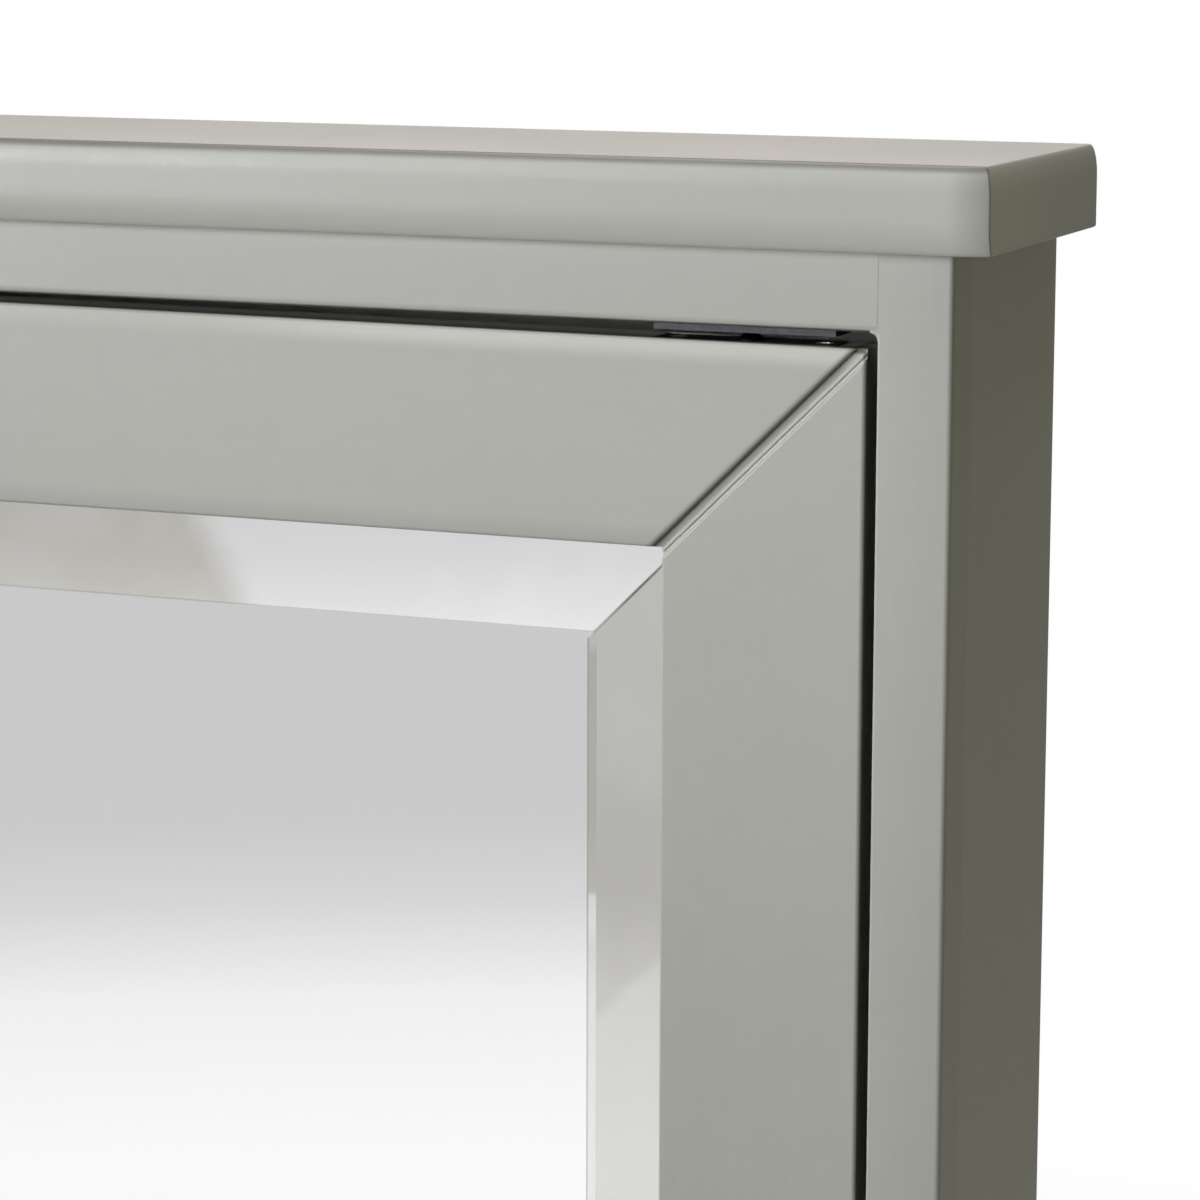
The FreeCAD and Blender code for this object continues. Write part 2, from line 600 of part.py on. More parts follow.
def mitre_groove(corner):
    """Cutter for the shallow channel along a mitre, with rounded shoulders and a low V for a floor."""
    half = MITRE_GROOVE_WIDTH / 2
    r = MITRE_SHOULDER_RADIUS
    inner, along, length = mitre_line(corner)
    across = along.cross(ALONG_Y)
    start = inner - along * MITRE_GROOVE_WIDTH
    def spot(offset, depth):
        return start + across * offset + ALONG_Y * depth
    bend = r * (1 - math.sqrt(0.5))
    edges = []
    for side in (-1, 1):
        shoulder = spot(side * half, 0)
        wall = spot(side * (half - r), r)
        foot = spot(side * (half - r), MITRE_WALL_DEPTH)
        rounding = spot(side * (half - r + bend), bend)
        edges.append(Part.Arc(shoulder, rounding, wall).toShape())
        edges.append(Part.makeLine(wall, foot))
        edges.append(Part.makeLine(foot, spot(0, MITRE_GROOVE_DEPTH)))
        edges.append(Part.makeLine(shoulder, spot(side * half, -CUTTER_MARGIN)))
    edges.append(Part.makeLine(spot(-half, -CUTTER_MARGIN), spot(half, -CUTTER_MARGIN)))
    face = Part.Face(Part.Wire(Part.__sortEdges__(edges)))
    return face.extrude(along * (length + 2 * MITRE_GROOVE_WIDTH))


def tongue(corner, clearance):
    """Loose tongue across a mitre, or its slot when it has a clearance."""
    inner, along, length = mitre_line(corner)
    middle = inner + along * TONGUE_FROM_SIGHT
    half_length = TONGUE_LENGTH / 2 + clearance
    half_width = TONGUE_WIDTH / 2 + clearance
    across = along.cross(ALONG_Y)
    corners = []
    for a, b in ((-1, -1), (1, -1), (1, 1), (-1, 1)):
        point = middle + along * a * half_length + across * b * half_width
        corners.append((point.x, point.z))
    y = Y_FRONT + TONGUE_FRONT_COVER
    return plate_xz(corners, y - clearance, y + TONGUE_THICKNESS + clearance)


def rebate_space():
    """Space behind the lip that the mirror and its backing fill."""
    return block(
        (X_SIGHT_LEFT - REBATE_WIDTH, X_SIGHT_RIGHT + REBATE_WIDTH),
        (Y_GLASS_FRONT, Y_DOOR_BACK + CUTTER_MARGIN),
        (Z_SIGHT_BOTTOM - REBATE_WIDTH, Z_SIGHT_TOP + REBATE_WIDTH))


def door_member(first, second, extra_cutters):
    """One mitred member of the door, between two of its corners."""
    outline = [DOOR_OUTER[first], DOOR_OUTER[second], DOOR_SIGHT[second], DOOR_SIGHT[first]]
    member = plate_xz(outline, Y_FRONT, Y_DOOR_BACK)
    def on_front(a, b, ends):
        places = [Vector(x, Y_FRONT, z) for x, z in ends]
        return all(any(p.distanceToPoint(q) < 1e-6 for q in places) for p in (a, b))
    member = ease_edges(member, DOOR_OUTER_EDGE_RADIUS, lambda a, b: on_front(a, b, outline[:2]))
    member = ease_edges(member, DOOR_SIGHT_EDGE_RADIUS, lambda a, b: on_front(a, b, outline[2:]))
    slots = [tongue(corner, FASTENER_CLEARANCE) for corner in (first, second)]
    grooves = [mitre_groove(corner) for corner in (first, second)]
    return cut(cut(member, [rebate_space()]), slots + grooves + extra_cutters)


def door_top_rail():
    """Top member, let in for the ball catch."""
    cutters = [catch_space()] + catch_screws(screw_hole) + clip_screws(pan_screw_hole)
    return door_member("top_left", "top_right", cutters)


def door_bottom_rail():
    """Bottom member."""
    return door_member("bottom_left", "bottom_right", clip_screws(pan_screw_hole))


def door_hinge_stile():
    """Left member, which carries the hinges."""
    cutters = door_hinge_screws(screw_hole) + clip_screws(pan_screw_hole)
    return door_member("bottom_left", "top_left", cutters)


def door_knob_stile():
    """Right member, bored for the knob's screw."""
    start = Vector(X_KNOB, Y_FRONT - CUTTER_MARGIN, Z_KNOB)
    hole = rod(KNOB_SCREW_RADIUS + FASTENER_CLEARANCE, DOOR_THICKNESS + 2 * CUTTER_MARGIN, start, ALONG_Y)
    return door_member("bottom_right", "top_right", [hole] + clip_screws(pan_screw_hole))


# Mirror
def mirror_glass():
    """Mirror plate with a wide bevel on all four edges."""
    outline = [(X_GLASS_LEFT, Z_GLASS_BOTTOM), (X_GLASS_RIGHT, Z_GLASS_BOTTOM),
               (X_GLASS_RIGHT, Z_GLASS_TOP), (X_GLASS_LEFT, Z_GLASS_TOP)]
    b = BEVEL_WIDTH
    flat = [(X_GLASS_LEFT + b, Z_GLASS_BOTTOM + b), (X_GLASS_RIGHT - b, Z_GLASS_BOTTOM + b),
            (X_GLASS_RIGHT - b, Z_GLASS_TOP - b), (X_GLASS_LEFT + b, Z_GLASS_TOP - b)]
    y_edge = Y_GLASS_BACK - GLASS_EDGE_THICKNESS
    front = [Vector(x, Y_GLASS_FRONT, z) for x, z in flat]
    rim = [Vector(x, y_edge, z) for x, z in outline]
    back = [Vector(x, Y_GLASS_BACK, z) for x, z in outline]
    faces = [front, back]
    for i in range(4):
        j = (i + 1) % 4
        faces.append([front[i], front[j], rim[j], rim[i]])
        faces.append([rim[i], rim[j], back[j], back[i]])
    shell = Part.Shell([Part.Face(Part.makePolygon(f + f[:1])) for f in faces])
    solid = Part.Solid(shell)
    if solid.Volume < 0:
        solid.reverse()
    return solid


def mirror_sheet(y_front, thickness):
    """Flat sheet of the mirror's size behind the glass."""
    y = (y_front, y_front + thickness)
    return block((X_GLASS_LEFT, X_GLASS_RIGHT), y, (Z_GLASS_BOTTOM, Z_GLASS_TOP))


def setting_blocks():
    """Two pads in the lower rebate that the mirror stands on."""
    y = (Y_GLASS_FRONT, Y_BACKING_BACK)
    z = (Z_SIGHT_BOTTOM - REBATE_WIDTH, Z_GLASS_BOTTOM)
    x_right = X_SIGHT_RIGHT - SETTING_BLOCK_INSET - SETTING_BLOCK_LENGTH
    starts = (X_SIGHT_LEFT + SETTING_BLOCK_INSET, x_right)
    return group([block((x, x + SETTING_BLOCK_LENGTH), y, z) for x in starts])


def clip_places():
    """Rebate edge point and outward direction of every mirror clip."""
    left = X_SIGHT_LEFT - REBATE_WIDTH
    right = X_SIGHT_RIGHT + REBATE_WIDTH
    x_middle = (left + right) / 2
    z_middle = (Z_SIGHT_TOP + Z_SIGHT_BOTTOM) / 2
    places = []
    for step in (-1, 0, 1):
        z = z_middle + step * CLIP_SIDE_SPACING
        places += [(Vector(left, Y_DOOR_BACK, z), -ALONG_X), (Vector(right, Y_DOOR_BACK, z), ALONG_X)]
    places.append((Vector(x_middle, Y_DOOR_BACK, Z_SIGHT_TOP + REBATE_WIDTH), ALONG_Z))
    places.append((Vector(x_middle, Y_DOOR_BACK, Z_SIGHT_BOTTOM - REBATE_WIDTH), -ALONG_Z))
    return places


def clip_screw_start(place, outward):
    """Point on a clip's rear face where its screw's head sits."""
    return place + outward * (CLIP_SEAT / 2) + ALONG_Y * CLIP_THICKNESS


def clip_screws(shape):
    """Screws, or the holes for them, through the mirror clips into the door's back."""
    length = CLIP_THICKNESS + CLIP_SCREW_LENGTH
    return [shape(clip_screw_start(*place), -ALONG_Y, length) for place in clip_places()]


def pan_screw(start, direction, length):
    """Screw with a flat round head that stands on the start point."""
    head = rod(SCREW_HEAD_RADIUS, PAN_HEAD_HEIGHT, start, -direction)
    return head.fuse(rod(SCREW_RADIUS, length, start, direction)).removeSplitter()


def pan_screw_hole(start, direction, length):
    """Hole for the shank of a round-headed screw."""
    return rod(SCREW_RADIUS + FASTENER_CLEARANCE, length + FASTENER_CLEARANCE, start, direction)


def oriented_block(place, outward, along, across_half, y):
    """Box that runs along the outward direction, half a width to each side of it."""
    across = outward.cross(ALONG_Y)
    a = place + outward * along[0] - across * across_half
    b = place + outward * along[1] + across * across_half
    return block(sorted((a.x, b.x)), y, sorted((a.z, b.z)))


def mirror_clips():
    """Stepped clips on the door's back whose feet press on the backing board."""
    clips = []
    for place, outward in clip_places():
        tab_y = (Y_DOOR_BACK, Y_DOOR_BACK + CLIP_THICKNESS)
        tab = oriented_block(place, outward, (-CLIP_REACH, CLIP_SEAT), CLIP_WIDTH / 2, tab_y)
        foot_y = (Y_BACKING_BACK, Y_DOOR_BACK)
        foot = oriented_block(place, outward, (-CLIP_REACH, CLIP_FOOT - CLIP_REACH), CLIP_WIDTH / 2, foot_y)
        hole = pan_screw_hole(clip_screw_start(place, outward), -ALONG_Y, CLIP_THICKNESS + CUTTER_MARGIN)
        clips.append(cut(tab.fuse(foot).removeSplitter(), [hole]))
    return group(clips)


# Hinges
def knuckle_spans(z_middle):
    """Heights of the lower, middle and upper knuckle."""
    low = z_middle - HINGE_HEIGHT / 2
    high = z_middle + HINGE_HEIGHT / 2
    length = (HINGE_HEIGHT - 2 * HINGE_KNUCKLE_GAP) / 3
    middle = (low + length + HINGE_KNUCKLE_GAP, high - length - HINGE_KNUCKLE_GAP)
    return [(low, low + length), middle, (high - length, high)]


def hinge_leaf(z_middle, x_plate, spans, holes):
    """Leaf in the gap with its share of the knuckles, bored for the pin."""
    z = (z_middle - HINGE_HEIGHT / 2, z_middle + HINGE_HEIGHT / 2)
    pieces = []
    for low, high in spans:
        pieces.append(rod(HINGE_KNUCKLE_RADIUS, high - low, Vector(X_HINGE, Y_HINGE, low), ALONG_Z))
        pieces.append(block(x_plate, (Y_HINGE, Y_FRONT), (low, high)))
    leaf = block(x_plate, (Y_FRONT, Y_FRONT + HINGE_LEAF_DEPTH), z).fuse(pieces).removeSplitter()
    bore_start = Vector(X_HINGE, Y_HINGE, z[0] - CUTTER_MARGIN)
    bore = rod(HINGE_PIN_RADIUS + RUNNING_CLEARANCE, HINGE_HEIGHT + 2 * CUTTER_MARGIN, bore_start, ALONG_Z)
    return cut(leaf, [bore] + holes)


def hinge_frame_leaf(z_middle):
    """Leaf on the frame stile, with the outer two knuckles."""
    lower, middle, upper = knuckle_spans(z_middle)
    x_plate = (-X_OPENING, -X_OPENING + HINGE_LEAF_THICKNESS)
    return hinge_leaf(z_middle, x_plate, [lower, upper], frame_hinge_screws(screw_hole))


def hinge_door_leaf(z_middle):
    """Leaf on the door's edge, with the middle knuckle."""
    lower, middle, upper = knuckle_spans(z_middle)
    x_plate = (X_DOOR_HINGE - HINGE_LEAF_THICKNESS, X_DOOR_HINGE)
    return hinge_leaf(z_middle, x_plate, [middle], door_hinge_screws(screw_hole))


def hinge_pin(z_middle):
    """Fixed pin with a button head at both ends."""
    low = Vector(X_HINGE, Y_HINGE, z_middle - HINGE_HEIGHT / 2)
    high = Vector(X_HINGE, Y_HINGE, z_middle + HINGE_HEIGHT / 2)
    shank = rod(HINGE_PIN_RADIUS, HINGE_HEIGHT, low, ALONG_Z)
    heads = [rod(HINGE_PIN_HEAD_RADIUS, HINGE_PIN_HEAD_HEIGHT, high, ALONG_Z),
             rod(HINGE_PIN_HEAD_RADIUS, HINGE_PIN_HEAD_HEIGHT, low, -ALONG_Z)]
    return shank.fuse(heads).removeSplitter()


# Ball catch
def catch_space():
    """Space let into the door's top edge for the catch's plate and barrel."""
    top = Z_CATCH + DOOR_TOP_PLANING + CUTTER_MARGIN
    half_length = CATCH_PLATE_LENGTH / 2 + SEAT_CLEARANCE
    half_width = CATCH_PLATE_WIDTH / 2 + SEAT_CLEARANCE
    plate = block(
        (X_CATCH - half_length, X_CATCH + half_length), (Y_CATCH - half_width, Y_CATCH + half_width),
        (Z_CATCH - CATCH_PLATE_THICKNESS, top))
    low = Z_CATCH - CATCH_PLATE_THICKNESS - CATCH_BARREL_LENGTH - SEAT_CLEARANCE
    barrel = rod(CATCH_BARREL_RADIUS + SEAT_CLEARANCE, top - low, Vector(X_CATCH, Y_CATCH, low), ALONG_Z)
    return plate.fuse(barrel)


def catch_screws(shape):
    """Screws, or the holes for them, down through the catch's plate."""
    xs = (X_CATCH - CATCH_SCREW_SPACING / 2, X_CATCH + CATCH_SCREW_SPACING / 2)
    return [shape(Vector(x, Y_CATCH, Z_CATCH), -ALONG_Z, CATCH_SCREW_LENGTH) for x in xs]


def catch_plate():
    """Face plate flush with the door's top edge, with a round seat that keeps the ball in."""
    plate = block(
        (X_CATCH - CATCH_PLATE_LENGTH / 2, X_CATCH + CATCH_PLATE_LENGTH / 2),
        (Y_CATCH - CATCH_PLATE_WIDTH / 2, Y_CATCH + CATCH_PLATE_WIDTH / 2),
        (Z_CATCH - CATCH_PLATE_THICKNESS, Z_CATCH))
    seat = Part.makeSphere(CATCH_BALL_RADIUS + RUNNING_CLEARANCE, Vector(X_CATCH, Y_CATCH, Z_BALL))
    return cut(plate, [seat] + catch_screws(screw_hole))


def catch_barrel():
    """Closed tube below the plate that guides the ball and holds the spring."""
    top = Vector(X_CATCH, Y_CATCH, Z_CATCH - CATCH_PLATE_THICKNESS)
    depth = CATCH_BARREL_LENGTH - CATCH_BARREL_FLOOR
    bore = rod(CATCH_BALL_RADIUS + RUNNING_CLEARANCE, depth, top, -ALONG_Z)
    return rod(CATCH_BARREL_RADIUS, CATCH_BARREL_LENGTH, top, -ALONG_Z).cut(bore)


def catch_spring():
    """Sleeve of the pressed spring's size, on the barrel's floor."""
    low = Z_CATCH - CATCH_PLATE_THICKNESS - CATCH_BARREL_LENGTH + CATCH_BARREL_FLOOR
    high = Z_BALL - CATCH_BALL_RADIUS - CATCH_BALL_TRAVEL - CATCH_SPRING_CLEARANCE
    outer = CATCH_BALL_RADIUS - CATCH_SPRING_CLEARANCE
    start = Vector(X_CATCH, Y_CATCH, low)
    inside = rod(outer - CATCH_SPRING_WALL, high - low, start, ALONG_Z)
    return rod(outer, high - low, start, ALONG_Z).cut(inside)


def catch_ball():
    """Sprung ball that drops into the strike."""
    return Part.makeSphere(CATCH_BALL_RADIUS, Vector(X_CATCH, Y_CATCH, Z_BALL))


# Knob
def knob():
    """Turned knob: base, neck and a rounded head."""
    top = KNOB_BASE_HEIGHT + KNOB_NECK_HEIGHT + KNOB_HEAD_HEIGHT
    neck_top = KNOB_BASE_HEIGHT + KNOB_NECK_HEIGHT
    outline = [
        (0, 0), (KNOB_BASE_RADIUS, 0), (KNOB_BASE_RADIUS, KNOB_BASE_HEIGHT),
        (KNOB_NECK_RADIUS, KNOB_BASE_HEIGHT), (KNOB_NECK_RADIUS, neck_top),
        (KNOB_HEAD_RADIUS, neck_top), (KNOB_HEAD_RADIUS, top), (0, top)]
    points = [Vector(X_KNOB + r, Y_FRONT - h, Z_KNOB) for r, h in outline]
    face = Part.Face(Part.makePolygon(points + points[:1]))
    body = face.revolve(Vector(X_KNOB, Y_FRONT, Z_KNOB), ALONG_Y, 360)
    circles = [e for e in body.Edges if isinstance(e.Curve, Part.Circle)]
    rims = [e for e in circles if abs(e.Curve.Radius - KNOB_HEAD_RADIUS) < 1e-6]
    body = body.makeFillet(min(KNOB_EDGE_RADIUS, KNOB_HEAD_HEIGHT / 2 - FASTENER_CLEARANCE), rims)
    socket = rod(
        KNOB_SCREW_RADIUS + FASTENER_CLEARANCE, KNOB_SCREW_ENGAGEMENT + FASTENER_CLEARANCE,
        Vector(X_KNOB, Y_FRONT, Z_KNOB), -ALONG_Y)
    return body.cut(socket)


def knob_screw():
    """Machine screw from the door's back into the knob."""
    start = Vector(X_KNOB, Y_DOOR_BACK, Z_KNOB)
    head = rod(KNOB_SCREW_HEAD_RADIUS, KNOB_SCREW_HEAD_HEIGHT, start, ALONG_Y)
    shank = rod(KNOB_SCREW_RADIUS, DOOR_THICKNESS + KNOB_SCREW_ENGAGEMENT, start, -ALONG_Y)
    return head.fuse(shank).removeSplitter()


def all_parts():
    """Every node by name."""
    parts = {
        "cornice": cornice(),
        "side_panel_left": side_panel(-1),
        "side_panel_right": side_panel(1),
        "top_panel": top_panel(),
        "bottom_panel": bottom_panel(),
        "back_panel": back_panel(),
        "upper_hanging_rail": hanging_rail(Z_UPPER_RAIL, UPPER_HANGING_RAIL_HEIGHT),
        "lower_hanging_rail": hanging_rail(Z_LOWER_RAIL, LOWER_HANGING_RAIL_HEIGHT),
        "lower_shelf": shelf(SHELF_BOTTOMS[0]),
        "upper_shelf": shelf(SHELF_BOTTOMS[1]),
        "shelf_pins": shelf_pins(),
        "frame_stile_left": frame_stile(-1),
        "frame_stile_right": frame_stile(1),
        "frame_top_rail": frame_top_rail(),
        "frame_bottom_rail": frame_rail(Z_OPENING_BOTTOM, Z_BOTTOM),
        "case_dowels": group([dowel(*place) for place in CASE_DOWELS]),
        "frame_dowels": group([dowel(*place) for place in FRAME_DOWELS]),
        "cornice_screws": group([screw(place, ALONG_Z, CORNICE_SCREW_LENGTH) for place in CORNICE_SCREWS]),
        "back_panel_nails": group([nail(place) for place in NAILS]),
        "door_stop": door_stop(),
        "door_bumpers": bumpers(),
        "strike_plate": strike_plate(),
        "strike_screws": group(strike_screws(screw)),
        "frame_hinge_screws": group(frame_hinge_screws(screw)),
        "door_hinge_screws": group(door_hinge_screws(screw)),
        "door_top_rail": door_top_rail(),
        "door_bottom_rail": door_bottom_rail(),
        "door_hinge_stile": door_hinge_stile(),
        "door_knob_stile": door_knob_stile(),
        "door_mitre_tongues": group([tongue(corner, 0) for corner in DOOR_OUTER]),
        "mirror_glass": mirror_glass(),
        "mirror_silvering": mirror_sheet(Y_SILVERING, SILVERING_THICKNESS),
        "mirror_backing": mirror_sheet(Y_BACKING, BACKING_THICKNESS),
        "mirror_setting_blocks": setting_blocks(),
        "mirror_clips": mirror_clips(),
        "mirror_clip_screws": group(clip_screws(pan_screw)),
        "catch_plate": catch_plate(),
        "catch_screws": group(catch_screws(screw)),
        "catch_barrel": catch_barrel(),
        "catch_spring": catch_spring(),
        "catch_ball": catch_ball(),
        "knob": knob(),
        "knob_screw": knob_screw(),
    }
    for place, z_middle in HINGE_CENTRES.items():
        parts["hinge_frame_leaf_" + place] = hinge_frame_leaf(z_middle)
        parts["hinge_door_leaf_" + place] = hinge_door_leaf(z_middle)
        parts["hinge_pin_" + place] = hinge_pin(z_middle)
    return parts


def main():
    """Build every node and write one STEP file for each."""
    os.makedirs("parts", exist_ok=True)
    for name, shape in all_parts().items():
        shape.exportStep("parts/" + name + ".step")
        print(name, len(shape.Solids), "solids", round(shape.Volume / 1000, 2), "cm3", shape.isValid())


main()
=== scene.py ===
"""Looks for a painted bathroom mirror cabinet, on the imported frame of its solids."""

import math

import bmesh
import bpy
from bpy.props import FloatProperty, FloatVectorProperty, IntProperty, PointerProperty
from mathutils import Euler, Matrix, Vector


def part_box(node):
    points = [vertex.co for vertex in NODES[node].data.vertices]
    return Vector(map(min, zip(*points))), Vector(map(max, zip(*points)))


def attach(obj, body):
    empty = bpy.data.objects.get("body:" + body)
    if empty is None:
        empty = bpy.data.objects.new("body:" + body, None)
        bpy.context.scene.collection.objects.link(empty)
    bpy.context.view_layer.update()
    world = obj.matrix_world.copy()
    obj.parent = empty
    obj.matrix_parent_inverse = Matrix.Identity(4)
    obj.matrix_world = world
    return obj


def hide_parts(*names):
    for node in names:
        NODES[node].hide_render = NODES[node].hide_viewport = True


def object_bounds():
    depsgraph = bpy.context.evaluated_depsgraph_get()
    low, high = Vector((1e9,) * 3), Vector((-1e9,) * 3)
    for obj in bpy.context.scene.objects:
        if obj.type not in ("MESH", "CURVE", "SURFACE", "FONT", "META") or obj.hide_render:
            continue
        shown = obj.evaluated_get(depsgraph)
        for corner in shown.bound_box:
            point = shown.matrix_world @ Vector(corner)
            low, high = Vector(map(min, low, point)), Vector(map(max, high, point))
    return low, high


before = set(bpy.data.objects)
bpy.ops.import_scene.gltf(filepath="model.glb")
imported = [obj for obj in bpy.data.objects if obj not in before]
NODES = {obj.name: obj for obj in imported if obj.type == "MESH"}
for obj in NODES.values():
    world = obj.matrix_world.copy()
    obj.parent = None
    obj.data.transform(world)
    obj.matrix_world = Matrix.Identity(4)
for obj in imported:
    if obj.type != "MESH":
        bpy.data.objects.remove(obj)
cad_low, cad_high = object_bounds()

bl_info = {
    "name": "Mirror Cabinet",
    "version": (1, 0, 0),
    "blender": (4, 5, 0),
    "location": "View3D > Sidebar > Cabinet",
    "description": "Dresses the solids of a painted mirror cabinet for rendering",
    "category": "Object",
}

MM = 0.001
SHARP_ANGLE = math.radians(40.0)

# Edges of the painted work, read from the solids
CORNICE_LOW, CORNICE_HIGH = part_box("cornice")
STILE_LOW, STILE_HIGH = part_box("frame_stile_right")
TOP_RAIL_LOW, TOP_RAIL_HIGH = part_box("frame_top_rail")
BOTTOM_RAIL_LOW, BOTTOM_RAIL_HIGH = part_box("frame_bottom_rail")
DOOR_TOP_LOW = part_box("door_top_rail")[0]
DOOR_BOTTOM_LOW, DOOR_BOTTOM_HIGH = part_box("door_bottom_rail")
KNOB_STILE_LOW, KNOB_STILE_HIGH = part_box("door_knob_stile")
HINGE_STILE_LOW, HINGE_STILE_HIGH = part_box("door_hinge_stile")
GLASS_LOW, GLASS_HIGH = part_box("mirror_glass")
FRONT_Y = STILE_LOW.y

# Radius and height of a fastener's head and radius of its shank, in mm, and its recess over the usual depth
FLAT_HEAD = (3.0, 1.2, 1.5, 1.0)
CLIP_HEAD = (3.0, 1.6, 1.5, 1.0)
KNOB_SCREW_HEAD = (4.2, 2.2, 1.95, 1.3)
PIN_HEAD = (1.8, 0.8, 0.78, 0.0)


# Sizes and colours that a user would change
class PaintSettings(bpy.types.PropertyGroup):
    """The satin paint on the cabinet."""

    colour: FloatVectorProperty(
        name="Paint colour", description="Colour of the satin paint outside",
        subtype="COLOR", size=3, min=0.0, max=1.0, default=(0.434, 0.444, 0.418))
    inner_colour: FloatVectorProperty(
        name="Inner colour", description="Colour of the thinner paint inside the case",
        subtype="COLOR", size=3, min=0.0, max=1.0, default=(0.478, 0.484, 0.448))
    top_colour: FloatVectorProperty(
        name="Top colour", description="Colour of the rougher coat on top of the cornice",
        subtype="COLOR", size=3, min=0.0, max=1.0, default=(0.498, 0.481, 0.468))
    gloss: FloatProperty(
        name="Roughness", description="Middle roughness of the paint",
        subtype="FACTOR", min=0.05, max=1.0, default=0.42)
    stroke_width: FloatProperty(
        name="Stroke width", description="Width of the brush strokes left in the paint",
        unit="LENGTH", min=0.0002, max=0.01, default=0.0011)
    bead_radius: FloatProperty(
        name="Bead radius", description="Radius of the paint bead in the door's mitres",
        unit="LENGTH", min=0.0001, max=0.002, default=0.0009)
    bead_offset: FloatProperty(
        name="Bead offset", description="How far the bead lies towards the stile, along each axis",
        unit="LENGTH", min=0.0, max=0.002, default=0.0006)
    corner_radius: FloatProperty(
        name="Corner radius", description="Radius of the paint in the corners of the frame's opening",
        unit="LENGTH", min=0.0005, max=0.003, default=0.0026)


class CorniceSettings(bpy.types.PropertyGroup):
    """The soft edges of the cornice."""

    brow_height: FloatProperty(
        name="Brow height", description="Height over which the front rounds back at its top",
        unit="LENGTH", min=0.001, max=0.013, default=0.0085)
    brow_depth: FloatProperty(
        name="Brow depth", description="Distance by which the front rounds back at its top",
        unit="LENGTH", min=0.0005, max=0.006, default=0.0026)
    foot_height: FloatProperty(
        name="Foot height", description="Height over which the front rounds back at its bottom",
        unit="LENGTH", min=0.001, max=0.013, default=0.011)
    foot_depth: FloatProperty(
        name="Foot depth", description="Distance by which the front rounds back at its bottom",
        unit="LENGTH", min=0.0005, max=0.006, default=0.0032)
    pillow: FloatProperty(
        name="Pillow length", description="Length over which the front draws back at each end",
        unit="LENGTH", min=0.001, max=0.015, default=0.013)
    pillow_radius: FloatProperty(
        name="Pillow radius", description="Radius to which the front draws back at each end",
        unit="LENGTH", min=0.016, max=0.2, default=0.032)
    arris: FloatProperty(
        name="Arris radius", description="Radius of the front's corners and of the lower edges",
        unit="LENGTH", min=0.0002, max=0.003, default=0.0009)
    end_height: FloatProperty(
        name="End height", description="Height over which the ends round back at their top",
        unit="LENGTH", min=0.001, max=0.013, default=0.0105)
    end_depth: FloatProperty(
        name="End depth", description="Distance by which the ends round back at their top",
        unit="LENGTH", min=0.0005, max=0.006, default=0.0022)


class MirrorSettings(bpy.types.PropertyGroup):
    """The bevelled mirror."""

    bevel: FloatProperty(
        name="Bevel width", description="Width of the mirror's bevel",
        unit="LENGTH", min=0.005, max=0.06, default=0.034)
    glass_tint: FloatVectorProperty(
        name="Glass tint", description="Tint of the clear glass",
        subtype="COLOR", size=3, min=0.0, max=1.0, default=(0.995, 0.996, 0.997))
    silver_tint: FloatVectorProperty(
        name="Silver tint", description="Colour of the silvering",
        subtype="COLOR", size=3, min=0.0, max=1.0, default=(0.97, 0.97, 0.968))


class HardwareSettings(bpy.types.PropertyGroup):
    """Screws, nails and other metal."""

    recess_width: FloatProperty(
        name="Recess width", description="Width of a screw's cross recess over the head's radius",
        subtype="FACTOR", min=0.2, max=1.4, default=1.05)
    recess_depth: FloatProperty(
        name="Recess depth", description="Depth of a screw's cross recess",
        unit="LENGTH", min=0.0002, max=0.002, default=0.0009)
    wire_radius: FloatProperty(
        name="Spring wire", description="Radius of the catch spring's wire",
        unit="LENGTH", min=0.0002, max=0.001, default=0.0004)
    turns: IntProperty(
        name="Spring turns", description="Turns of the catch spring", min=3, max=20, default=9)
    seed: IntProperty(
        name="Screw seed", description="Seed for how each screw's recess is turned",
        min=0, max=1000, default=7)


class StageSettings(bpy.types.PropertyGroup):
    """Camera, lamps and room."""

    place: FloatVectorProperty(
        name="Camera place", description="Where the camera stands",
        subtype="TRANSLATION", size=3, default=(0.6317, -1.2743, 0.4448))
    turn: FloatVectorProperty(
        name="Camera turn", description="How the camera is turned",
        subtype="EULER", size=3,
        default=(math.radians(90.0 - 8.871), math.radians(0.158), math.radians(22.150)))
    lens: FloatProperty(
        name="Lens", description="Focal length", unit="CAMERA", min=20.0, max=300.0, default=116.22)
    shift: FloatProperty(
        name="Shift", description="How far the picture is shifted up, in picture widths", default=-0.08)
    key_power: FloatProperty(
        name="Key power", description="Power of the large front lamp", unit="POWER", default=9.15)
    top_power: FloatProperty(
        name="Top power", description="Power of the lamp above", unit="POWER", default=6.2)
    fill_power: FloatProperty(
        name="Fill power", description="Power of the low lamp in front", unit="POWER", default=0.55)
    back_power: FloatProperty(
        name="Back power", description="Power of the lamp behind", unit="POWER", default=55.0)
    room: FloatProperty(
        name="Room light", description="Strength of the light from the room", default=0.175)


# Node trees
class Value:
    """A result inside a node tree, so that sums of such results read as sums."""

    def __init__(self, nodes, socket):
        self.nodes = nodes
        self.socket = socket

    def __add__(self, other):
        return self.nodes.maths("ADD", self, other)

    def __sub__(self, other):
        return self.nodes.maths("SUBTRACT", self, other)

    def __rsub__(self, other):
        return self.nodes.maths("SUBTRACT", other, self)

    def __mul__(self, other):
        return self.nodes.maths("MULTIPLY", self, other)

    def __truediv__(self, other):
        return self.nodes.maths("DIVIDE", self, other)

    def __neg__(self):
        return self * -1.0

    def __abs__(self):
        return self.nodes.maths("ABSOLUTE", self)


